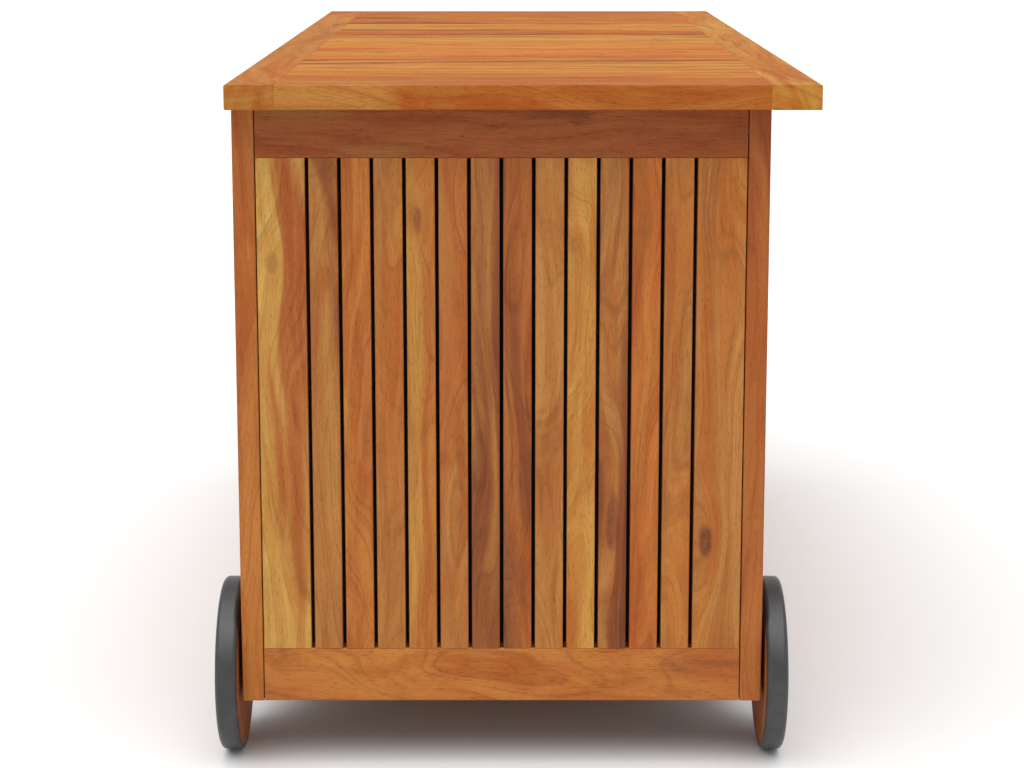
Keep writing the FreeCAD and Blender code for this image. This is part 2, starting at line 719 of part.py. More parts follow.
# ---------------------------------------------------------------- wheels
def axle_parts():
    axle_half = size.body_width / 2 + hub_reach - size.cap_skin
    axle = new_piece("axle", (axle_x, body_middle - axle_half, axle_z))
    turned(axle, [(0, 0), (size.axle_radius, 0), (size.axle_radius, 2 * axle_half),
                  (0, 2 * axle_half)])
    washer_thick = size.wheel_gap - size.end_float
    washers = new_piece("axle_washers", (axle_x, body_middle, axle_z))
    caps = new_piece("hub_caps", (axle_x, body_middle, axle_z))
    wall = size.body_width / 2
    cap_start = wall + size.wheel_gap + size.wheel_width + size.end_float
    cap_depth = size.cap_height - size.end_float
    for along, sign in (("+y", 1), ("-y", -1)):
        rod(washers, (0, sign * wall, 0), along, size.washer_radius, washer_thick)
        rod(washers, (0, sign * wall, 0), along, size.axle_radius, washer_thick, cut=True)
        rod(caps, (0, sign * cap_start, 0), along, size.cap_radius, cap_depth / 2)
        taper(caps, (0, sign * (cap_start + cap_depth / 2), 0), along, size.cap_radius,
              size.axle_radius, cap_depth / 2)
        rod(caps, (0, sign * cap_start, 0), along, size.axle_radius,
            cap_depth - size.cap_skin, cut=True)


def wheel(side, inner_y, sign):
    """A solid wooden wheel with a rubber tyre and a plastic bush, drawn from its inner face."""
    turn = Rotation() if sign > 0 else Rotation(Vector(0, 0, 1), 180)
    place = (axle_x, inner_y, axle_z)
    rim = size.wheel_radius - size.tyre_thick
    bore = size.axle_radius + size.running_fit
    seat = bore + size.bush_wall
    disc = new_piece(f"{side}_wheel_disc", place, turn)
    turned(disc, [(seat, 0), (rim, 0), (rim, size.wheel_width), (seat, size.wheel_width)])
    tyre = new_piece(f"{side}_tyre", place, turn)
    ring = turned(tyre, [(rim, 0), (size.wheel_radius, 0), (size.wheel_radius, size.wheel_width),
                         (rim, size.wheel_width)])
    round_shoulders(tyre, ring)
    bush = new_piece(f"{side}_hub_bush", place, turn)
    turned(bush, [(bore, 0), (seat, 0), (seat, size.wheel_width), (bore, size.wheel_width)])


def round_shoulders(body, ring):
    """Round a tyre's two outer edges."""
    doc.recompute()
    names = []
    for index, edge in enumerate(ring.Shape.Edges, start=1):
        circle = isinstance(edge.Curve, Part.Circle)
        if circle and edge.Curve.Radius > (size.wheel_radius - size.running_fit).number:
            names.append(f"Edge{index}")
    fillet = body.newObject("PartDesign::Fillet", f"{body.Name}_Shoulders")
    fillet.Base = (ring, names)
    bind(fillet, "Radius", size.tyre_round)


# ---------------------------------------------------------------- lid
lid_width = size.body_width + size.lid_overhang_front + size.lid_overhang_back
board_long = lid_width - 2 * size.lid_rail
tongue_low = (size.lid_thick - size.tongue_thick) / 2
slat_field = 2 * lid_half - 2 * size.lid_end_board
lid_slat_wide = (slat_field - (size.lid_slats + 1) * size.lid_gap) / size.lid_slats
lid_pitch = lid_slat_wide + size.lid_gap
first_slat = size.lid_end_board + size.lid_gap
batten_long = slat_field - 2 * size.batten_inset
LID_PLACE = (-lid_half, lid_front, body_top)
hinge_first = lid_half - (size.hinge_count - 1) * size.hinge_pitch / 2


def lid_rails():
    """The lid's two long rails, grooved for the cross boards' tongues short of their ends."""
    for name, rail_y, groove_y in (("lid_front_rail", 0, size.lid_rail - size.tongue_long),
                                   ("lid_back_rail", lid_width - size.lid_rail,
                                    lid_width - size.lid_rail)):
        body = new_piece(name, LID_PLACE)
        timber = block(body, (0, rail_y, 0), (2 * lid_half, size.lid_rail, size.lid_thick))
        ease(body, timber, "x")
        block(body, (size.groove_stop, groove_y, tongue_low),
              (2 * (lid_half - size.groove_stop), size.tongue_long, size.tongue_thick), cut=True)
        if name == "lid_back_rail":
            lid_hinge_recesses(body)


def lid_hinge_recesses(body):
    """Recesses and screw holes for the hinges in the lid's back rail."""
    first = (hinge_first, lid_width - size.leaf_wide, 0)
    for x, y, z in row_of(first, "x", size.hinge_pitch, size.hinge_count):
        block(body, (x - size.hinge_long / 2, y, z),
              (size.hinge_long, size.leaf_wide + size.overcut, size.leaf_thick), cut=True)
        for offset in (-size.hinge_screw_spread / 2, size.hinge_screw_spread / 2):
            head = (x + offset, y + size.leaf_wide / 2, z)
            bracket_screw(body, head, "+z", cut=True)


def lid_board(body, start, width, bare_start=0, bare_end=0):
    """A cross board with a tongue at each end, which may leave either edge of the board bare."""
    board = block(body, (start, size.lid_rail, 0), (width, board_long, size.lid_thick))
    rounded = ease(body, board, "y")
    tongue = block(body, (start + bare_start, size.lid_rail - size.tongue_long, tongue_low),
                   (width - bare_start - bare_end, board_long + 2 * size.tongue_long,
                    size.tongue_thick))
    return [board, rounded, tongue]


def batten_rows():
    middle = lid_width / 2
    return (middle - size.batten_spread / 2, middle + size.batten_spread / 2)


def first_batten_screws():
    """The heads of the two screws in the first lid slat."""
    screw_x = first_slat + lid_slat_wide / 2
    return [(screw_x, row_y, -size.batten_thick) for row_y in batten_rows()]


def lid_boards():
    for name, start, side, bare in (
            ("wheel_end", 0, -1, (size.groove_stop, 0)),
            ("handle_end", 2 * lid_half - size.lid_end_board, 1, (0, size.groove_stop))):
        body = new_piece(f"lid_{name}_board", LID_PLACE)
        lid_board(body, start, size.lid_end_board, *bare)
        lid_bracket_screws(body, side, cut=True)
    body = new_piece("lid_slats", LID_PLACE)
    made = lid_board(body, first_slat, lid_slat_wide)
    for head in first_batten_screws():
        made += wood_screw(body, head, "+z", size.batten_screw_long, cut=True)
    repeat(body, made, "x", lid_pitch, size.lid_slats)


def lid_battens():
    """Two battens under the lid, with a screw up into every cross board."""
    battens = new_piece("lid_battens", LID_PLACE)
    screws = new_piece("lid_batten_screws", LID_PLACE)
    for row_y in batten_rows():
        block(battens, (lid_half - batten_long / 2, row_y - size.batten_wide / 2,
                        -size.batten_thick),
              (batten_long, size.batten_wide, size.batten_thick))
    made = []
    for first in first_batten_screws():
        made += wood_screw(screws, first, "+z", size.batten_screw_long)
        for head in row_of(first, "x", lid_pitch, size.lid_slats):
            wood_screw(battens, head, "+z", size.batten_screw_long, cut=True)
    repeat(screws, made, "x", lid_pitch, size.lid_slats)


# ---------------------------------------------------------------- hinges
HINGE_PLACE = (0, hinge_y, body_top)
leaf_edge = size.knuckle_radius + size.knuckle_gap
outer_knuckle = (size.hinge_long - size.knuckle_mid) / 2 - size.knuckle_play
leaf_inner = leaf_edge + size.leaf_wide
wall_leaf_inner = leaf_edge + size.leaf_wide - size.lid_overhang_back


def hinge_recess(body):
    """Recesses and screw holes for the hinges in the back wall's top rail."""
    wall_leaf = size.leaf_wide - size.lid_overhang_back
    first = half_length - (size.hinge_count - 1) * size.hinge_pitch / 2
    for x, y, z in row_of((first, 0, body_top), "x", size.hinge_pitch, size.hinge_count):
        block(body, (x - size.hinge_long / 2, y - size.overcut, z - size.leaf_thick),
              (size.hinge_long, wall_leaf + size.overcut, size.leaf_thick + size.overcut),
              cut=True)
        for offset in (-size.hinge_screw_spread / 2, size.hinge_screw_spread / 2):
            bracket_screw(body, (x + offset, wall_leaf / 2, z), "-z", cut=True)


def hinge_leaves(name, direction, knuckles, plate_low, inner, screw_y, bore):
    """All leaves of one kind: a plate, its knuckles round the hinge line and screw holes."""
    body = new_piece(name, HINGE_PLACE)
    first = -(size.hinge_count - 1) * size.hinge_pitch / 2
    start = first - size.hinge_long / 2
    made = [block(body, (start, -inner, plate_low),
                  (size.hinge_long, inner - leaf_edge, size.leaf_thick))]
    for offset, length in knuckles:
        made.append(block(body, (start + offset, -leaf_edge, plate_low),
                          (length, leaf_edge, size.leaf_thick)))
        made.append(rod(body, (start + offset, 0, 0), "+x", size.knuckle_radius, length))
    for offset, length in knuckles:
        made.append(rod(body, (start + offset, 0, 0), "+x", bore, length, cut=True))
    for offset in (-size.hinge_screw_spread / 2, size.hinge_screw_spread / 2):
        made += bracket_screw(body, (first + offset, screw_y, 0), direction, cut=True)
    repeat(body, made, "x", size.hinge_pitch, size.hinge_count)


def hinges():
    first = -(size.hinge_count - 1) * size.hinge_pitch / 2
    middle_start = (size.hinge_long - size.knuckle_mid) / 2
    outer = ((0, outer_knuckle), (size.hinge_long - outer_knuckle, outer_knuckle))
    wall_screw_y = -(leaf_edge + size.lid_overhang_back
                     + (size.leaf_wide - size.lid_overhang_back) / 2)
    lid_screw_y = -(leaf_edge + size.leaf_wide / 2)
    hinge_leaves("hinge_wall_leaves", "-z", outer, -size.leaf_thick, leaf_inner, wall_screw_y,
                 size.pin_radius)
    hinge_leaves("hinge_lid_leaves", "+z", ((middle_start, size.knuckle_mid),), 0, leaf_inner,
                 lid_screw_y, size.pin_radius + size.running_fit)
    pins = new_piece("hinge_pins", HINGE_PLACE)
    start = first - size.hinge_long / 2
    made = [rod(pins, (start, 0, 0), "+x", size.pin_radius, size.hinge_long)]
    repeat(pins, made, "x", size.hinge_pitch, size.hinge_count)
    for name, direction, screw_y in (("hinge_wall_screws", "-z", wall_screw_y),
                                     ("hinge_lid_screws", "+z", lid_screw_y)):
        body = new_piece(name, HINGE_PLACE)
        made = []
        for offset in (-size.hinge_screw_spread / 2, size.hinge_screw_spread / 2):
            made += bracket_screw(body, (first + offset, screw_y, 0), direction)
        repeat(body, made, "x", size.hinge_pitch, size.hinge_count)


# ---------------------------------------------------------------- gas struts
strut_closed = 2 * size.strut_arm * sine(size.strut_angle / 2)
tube_long = strut_closed - size.tube_start - size.rod_shown
rod_long = strut_closed - size.tube_start - size.tube_end - size.piston_stop
stud_long = size.strut_inset + size.eye_wide / 2 + size.stud_head_long - liner_skin
wall_plate_x = inner_half - liner_skin


def strut_turn(from_lid):
    """Turn that points a strut piece's own Y along the strut with the lid shut."""
    run = wall_pivot_y.number - lid_pivot_y.number
    rise = lid_pivot_z.number - wall_pivot_z.number
    angle = 180 - math.degrees(math.atan2(rise, run))
    return Rotation(Vector(1, 0, 0), angle - 180 if from_lid else angle)


def strut_eye(body):
    """A strut's end: a round eye across the strut and a neck towards it."""
    rod(body, (-size.eye_wide / 2, 0, 0), "+x", size.eye_radius, size.eye_wide)


def drill_eye(body):
    rod(body, (-size.eye_wide / 2, 0, 0), "+x", size.stud_radius + size.running_fit,
        size.eye_wide, cut=True)


def gas_strut(end, side):
    """Cylinder on the wall's stud and rod on the lid's stud, on one line at every angle."""
    x = side * strut_x
    cylinder = new_piece(f"{end}_strut_cylinder", (x, wall_pivot_y, wall_pivot_z),
                         strut_turn(from_lid=False))
    tube_top = size.tube_start + tube_long
    inner = size.tube_radius - size.tube_wall
    guide = size.rod_radius + size.running_fit
    turned(cylinder, [
        (0, size.tube_start), (size.tube_radius, size.tube_start),
        (size.tube_radius, tube_top), (guide, tube_top), (guide, tube_top - size.tube_end),
        (inner, tube_top - size.tube_end), (inner, size.tube_start + size.tube_end),
        (0, size.tube_start + size.tube_end)])
    strut_eye(cylinder)
    rod(cylinder, (0, 0, 0), "+y", size.rod_radius, size.tube_start + size.overcut)
    drill_eye(cylinder)
    piston_rod = new_piece(f"{end}_strut_rod", (x, lid_pivot_y, lid_pivot_z),
                           strut_turn(from_lid=True))
    piston = inner - size.piston_play
    neck = rod_long - size.piston_long
    turned(piston_rod, [(0, 0), (size.rod_radius, 0), (size.rod_radius, neck),
                        (piston, neck), (piston, rod_long), (0, rod_long)])
    strut_eye(piston_rod)
    drill_eye(piston_rod)


def stud(body, start, side, length):
    """A stud towards the middle of the box, with a flat head."""
    along = "-x" if side > 0 else "+x"
    rod(body, start, along, size.stud_radius, length)
    head_x = start[0] - side * (length - size.stud_head_long)
    rod(body, (head_x, start[1], start[2]), along, size.stud_head, size.stud_head_long)


def wall_brackets():
    """A plate with a stud on each end wall, screwed on over the liner."""
    body = new_piece("wall_brackets", (0, wall_pivot_y, wall_pivot_z))
    screws = new_piece("wall_bracket_screws", (0, wall_pivot_y, wall_pivot_z))
    for _, side in ENDS:
        face_x = side * wall_plate_x
        low_x = face_x - size.plate_thick if side > 0 else face_x
        block(body, (low_x, -plate_wide / 2, -size.plate_high / 2),
              (size.plate_thick, plate_wide, size.plate_high))
        stud(body, (face_x, 0, 0), side, stud_long)
    for _, side in ENDS:
        along = "+x" if side > 0 else "-x"
        for offset in (-size.plate_hole_spread / 2, size.plate_hole_spread / 2):
            head = (side * (wall_plate_x - size.plate_thick), 0, offset)
            bracket_screw(body, head, along, cut=True)
            bracket_screw(screws, head, along)


def lid_bracket_screws(body, side, cut):
    """The two screws of a lid bracket, seen from the lid's own corner."""
    screw_x = lid_half + side * (wall_plate_x - size.plate_thick - size.flange_wide / 2)
    for offset in (-size.flange_hole_spread / 2, size.flange_hole_spread / 2):
        head = (screw_x, lid_pivot_y - lid_front + offset, -size.plate_thick)
        bracket_screw(body, head, "+z", cut)


def lid_brackets():
    """An angle with a stud under each of the lid's end boards."""
    body = new_piece("lid_brackets", LID_PLACE)
    screws = new_piece("lid_bracket_screws", LID_PLACE)
    mid_y = lid_pivot_y - lid_front
    ear_low = size.pivot_drop + size.stud_head + size.ear_margin
    for _, side in ENDS:
        face_x = lid_half + side * (wall_plate_x - size.plate_thick)
        flange_x = face_x - size.flange_wide if side > 0 else face_x
        ear_x = face_x - size.plate_thick if side > 0 else face_x
        block(body, (flange_x, mid_y - size.flange_long / 2, -size.plate_thick),
              (size.flange_wide, size.flange_long, size.plate_thick))
        block(body, (ear_x, mid_y - size.ear_wide / 2, -ear_low),
              (size.plate_thick, size.ear_wide, ear_low))
        stud(body, (face_x, mid_y, -size.pivot_drop), side, stud_long - size.plate_thick)
    for _, side in ENDS:
        lid_bracket_screws(body, side, cut=True)
        lid_bracket_screws(screws, side, cut=False)


# ---------------------------------------------------------------- liner
def liner():
    """An open-topped cloth liner on the floor boards, held by press studs near its hem."""
    body = new_piece("liner", (-inner_half, front_face + size.board_thick, 0))
    low = floor_level + size.floor_thick + size.liner_clear
    high = body_top - size.liner_drop
    clear = size.liner_clear
    skin = liner_skin
    block(body, (clear, clear, low),
          (2 * inner_half - 2 * clear, inner_width - 2 * clear, high - low))
    block(body, (skin, skin, low + size.liner_thick),
          (2 * inner_half - 2 * skin, inner_width - 2 * skin, high - low), cut=True)
    for sign, wall_x in ((1, 0), (-1, 2 * inner_half)):
        along = "+x" if sign > 0 else "-x"
        for offset in (-size.plate_hole_spread / 2, size.plate_hole_spread / 2):
            bracket_y = wall_pivot_y - front_face - size.board_thick
            rod(body, (wall_x, bracket_y, wall_pivot_z + offset), along,
                size.bracket_screw_head, skin + size.overcut, cut=True)
    for place, axis, step, count, along in snap_rows():
        start = (place[0] + inner_half, place[1] - front_face - size.board_thick, place[2])
        for hole in row_of(start, axis, step, count):
            rod(body, hole, along, size.snap_pin, skin + size.overcut, cut=True)


def snap_rows():
    """Each wall's press studs: first place on the wall's inner face, row and inward way."""
    side_step = (side_span - 2 * size.tenon_long) / (size.side_snaps - 1)
    side_first = size.side_stile + size.tenon_long - half_length
    end_step = (end_span - 2 * size.end_snap_inset) / (size.end_snaps - 1)
    end_first = body_middle - end_span / 2 + size.end_snap_inset
    return (
        ((side_first, front_face + size.board_thick, snap_z), "x", side_step,
         size.side_snaps, "+y"),
        ((side_first, back_face - size.board_thick, snap_z), "x", side_step,
         size.side_snaps, "-y"),
        ((-inner_half, end_first, snap_z), "y", end_step, size.end_snaps, "+x"),
        ((inner_half, end_first, snap_z), "y", end_step, size.end_snaps, "-x"),
    )


def liner_snaps():
    """Press studs: a cap inside the liner and a pin through it into the rail."""
    body = new_piece("liner_snaps")
    opposite = {"+": "-", "-": "+"}
    for place, axis, step, count, along in snap_rows():
        index = "xyz".index(along[1])
        sign = 1 if along[0] == "+" else -1
        seat = list(place)
        seat[index] = place[index] + sign * liner_skin
        outward = opposite[along[0]] + along[1]
        for start in row_of(seat, axis, step, count):
            rod(body, start, along, size.snap_radius, size.snap_thick)
            rod(body, start, outward, size.snap_pin, liner_skin + size.snap_depth)


# ---------------------------------------------------------------- build
long_wall("front_wall", leg_first=False)
long_wall("back_wall", leg_first=True)
for end_name, _ in ENDS:
    end_wall(end_name)
floor_ledges()
floor_boards()
floor_screws(new_piece("floor_screws", BODY_PLACE), cut=False)
ledge_screws(new_piece("ledge_screws", BODY_PLACE), cut=False)
corner_fasteners()
pull_handle()
leg_glides()
liner()
liner_snaps()
axle_parts()
wheel_side = size.body_width / 2 + size.wheel_gap
wheel("front", body_middle - wheel_side, -1)
wheel("back", body_middle + wheel_side, 1)
lid_rails()
lid_boards()
lid_battens()
hinges()
wall_brackets()
lid_brackets()
for end_name, end_side in ENDS:
    gas_strut(end_name, end_side)

doc.recompute()
for item in doc.Objects:
    if "Invalid" in item.State or "Error" in item.State:
        raise RuntimeError(f"{item.Name} failed: {item.State}")
for piece in pieces:
    if piece.Shape.isNull() or not piece.Shape.isValid():
        raise RuntimeError(f"{piece.Label} has no valid shape")

os.makedirs("parts", exist_ok=True)
for piece in pieces:
    piece.Shape.exportStep(f"parts/{piece.Label}.step")
print(f"{len(pieces)} pieces written")
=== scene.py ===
"""Looks of the deck storage box: oiled acacia, rubber tyres, steel fittings and a sewn cloth liner.

Metres, in the row frame: the wheel end faces -X, the lid's front overhang -Y, and +Z is up.
"""

import math
import random

import bpy
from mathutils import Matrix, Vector, noise


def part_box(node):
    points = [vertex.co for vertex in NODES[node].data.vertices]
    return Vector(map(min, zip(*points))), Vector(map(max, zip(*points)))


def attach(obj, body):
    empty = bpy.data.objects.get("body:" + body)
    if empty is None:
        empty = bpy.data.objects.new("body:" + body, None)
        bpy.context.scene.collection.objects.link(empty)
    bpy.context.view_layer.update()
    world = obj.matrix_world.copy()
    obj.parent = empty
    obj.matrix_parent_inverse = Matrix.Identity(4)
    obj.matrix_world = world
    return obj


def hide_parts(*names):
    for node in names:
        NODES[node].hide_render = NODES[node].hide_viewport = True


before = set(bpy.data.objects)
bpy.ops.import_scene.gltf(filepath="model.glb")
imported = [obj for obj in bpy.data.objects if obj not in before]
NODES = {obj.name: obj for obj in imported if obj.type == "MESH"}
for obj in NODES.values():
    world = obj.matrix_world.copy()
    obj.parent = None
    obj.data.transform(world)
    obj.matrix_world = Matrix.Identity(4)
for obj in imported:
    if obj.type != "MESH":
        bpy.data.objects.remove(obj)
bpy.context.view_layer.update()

MM = 0.001


# ---------------------------------------------------------------- colours

def srgb(red, green, blue):
    """A colour as seen on a screen, 0 to 255, as the linear colour that a shader takes."""
    def linear(value):
        value /= 255
        return value / 12.92 if value <= 0.04045 else ((value + 0.055) / 1.055) ** 2.4
    return (linear(red), linear(green), linear(blue))


WOOD = {
    "pale": srgb(186, 142, 70),
    "gold": srgb(176, 124, 56),
    "tan": srgb(166, 110, 54),
    "olive": srgb(148, 100, 48),
    "amber": srgb(170, 104, 44),
    "orange": srgb(162, 94, 42),
    "russet": srgb(150, 82, 38),
    "umber": srgb(132, 75, 38),
    "honey": srgb(184, 114, 48),
    "copper": srgb(176, 98, 40),
}
DARK_GRAIN = srgb(84, 36, 16)
PLUM_GRAIN = srgb(70, 30, 24)
KNOT_BROWN = srgb(88, 42, 30)


# ---------------------------------------------------------------- shader helpers

class Shader:
    """One material's node tree, built a node at a time."""

    def __init__(self, name, **principled):
        self.material = bpy.data.materials.new(name)
        self.material.use_nodes = True
        self.tree = self.material.node_tree
        self.surface = self.tree.nodes["Principled BSDF"]
        for socket, value in principled.items():
            self.surface.inputs[socket.replace("_", " ")].default_value = value

    def node(self, kind, output=0, inputs=(), **settings):
        """Adds a node and gives its output. A tuple of inputs is set or linked in order."""
        made = self.tree.nodes.new(kind)
        for name, value in settings.items():
            setattr(made, name, value)
        for socket, value in (inputs.items() if isinstance(inputs, dict) else enumerate(inputs)):
            self.feed(made.inputs[socket], value)
        return made.outputs[output]

    def feed(self, socket, value):
        if isinstance(value, bpy.types.NodeSocket):
            self.tree.links.new(value, socket)
        elif value is not None:
            socket.default_value = value

    def math(self, operation, *values, clamp=False):
        return self.node("ShaderNodeMath", 0, values, operation=operation, use_clamp=clamp)

    def vector(self, operation, *values):
        return self.node("ShaderNodeVectorMath", 0, values, operation=operation)

    def joined(self, x=0.0, y=0.0, z=0.0):
        return self.node("ShaderNodeCombineXYZ", 0, (x, y, z))

    def split(self, vector):
        made = self.tree.nodes.new("ShaderNodeSeparateXYZ")
        self.tree.links.new(vector, made.inputs[0])
        return made.outputs

    def place(self):
        """Where a point is on its piece, in metres."""
        return self.node("ShaderNodeTexCoord", "Object")

    def stored(self, name, output="Fac"):
        return self.node("ShaderNodeAttribute", output, attribute_name=name)

    def noise(self, vector, scale, detail=2.0, rough=0.5, distortion=0.0):
        return self.node("ShaderNodeTexNoise", "Fac", {
            "Vector": vector, "Scale": scale, "Detail": detail, "Roughness": rough,
            "Distortion": distortion})

    def steps(self, value, low, high, start=0.0, end=1.0):
        """Smoothly from start to end as value goes from low to high."""
        return self.node("ShaderNodeMapRange", 0, (value, low, high, start, end),
                         interpolation_type="SMOOTHSTEP")

    def between(self, value, low, high):
        """From low to high as value goes from 0 to 1, and on in the same way beyond."""
        return self.math("MULTIPLY_ADD", value, high - low, low)

    def mix(self, share, first, second, blend="MIX"):
        made = self.tree.nodes.new("ShaderNodeMix")
        made.data_type, made.blend_type = "RGBA", blend
        for socket, value in zip((0, 6, 7), (share, first, second)):
            if isinstance(value, tuple):
                value = (*value, 1.0)
            self.feed(made.inputs[socket], value)
        return made.outputs[2]

    def bump(self, height, distance, strength=1.0, normal=None):
        inputs = {"Strength": strength, "Distance": distance, "Height": height}
        if normal is not None:
            inputs["Normal"] = normal
        return self.node("ShaderNodeBump", 0, inputs)

    def finish(self, colour=None, rough=None, normal=None):
        for name, value in (("Base Color", colour), ("Roughness", rough), ("Normal", normal)):
            if value is not None:
                self.feed(self.surface.inputs[name], value)
        return self.material


# ---------------------------------------------------------------- acacia

GRAIN_ORDER = {"x": (1, 2, 0), "y": (0, 2, 1), "z": (0, 1, 2)}

# How often the wood's patterns change in a metre, across the grain and along it.
BEND_ACROSS, BEND_ALONG = 9.0, 3.4
RING_ACROSS, RING_ALONG = 210.0, 1.8
FINE_RING_ACROSS, FINE_RING_ALONG = 820.0, 6.0
FIBRE_ACROSS, FIBRE_ALONG = 1500.0, 22.0
PORE_ACROSS, PORE_ALONG = 1250.0, 170.0
BROAD_ACROSS, BROAD_DEPTH, BROAD_ALONG = 36.0, 18.0, 2.2
RIPPLE_ACROSS, RIPPLE_ALONG = 16.0, 34.0

SEED_STEP = 37.31           # from one board's place in the noise to the next one's
HEART_ASIDE = 45 * MM       # how far to either side the log's heart can be
HEART_DEEP = 30 * MM        # and how far behind the face
HEART_TURNS = 3.7           # draws the heart's place from the board's seed
BEND_ASIDE = 50 * MM        # how far the grain wanders sideways
BEND_DEEP = 25 * MM         # and in depth

# Places far apart in one noise, so that its patterns don't repeat each other.
DEPTH_PLACE = (31.0, 17.0, 5.0)
FLAME_PLACE = (7.0, 19.0, 3.0)
STREAK_PLACE = (11.0, 4.0, 23.0)

RED_TINT = (0.84, 0.62, 0.48)
LIGHT_TINT = (1.16, 1.26, 1.32)
HEARTWOOD_GAIN = 0.26       # how much a board's share of heartwood widens its dark streaks

KNOT_RAGGED = 0.35          # unevenness of a knot's outline, as a share of its half size
KNOT_PUSH = 20 * MM         # how far a knot pushes the rings aside
KNOT_REACH = 4.5            # and how far from its middle, in half sizes


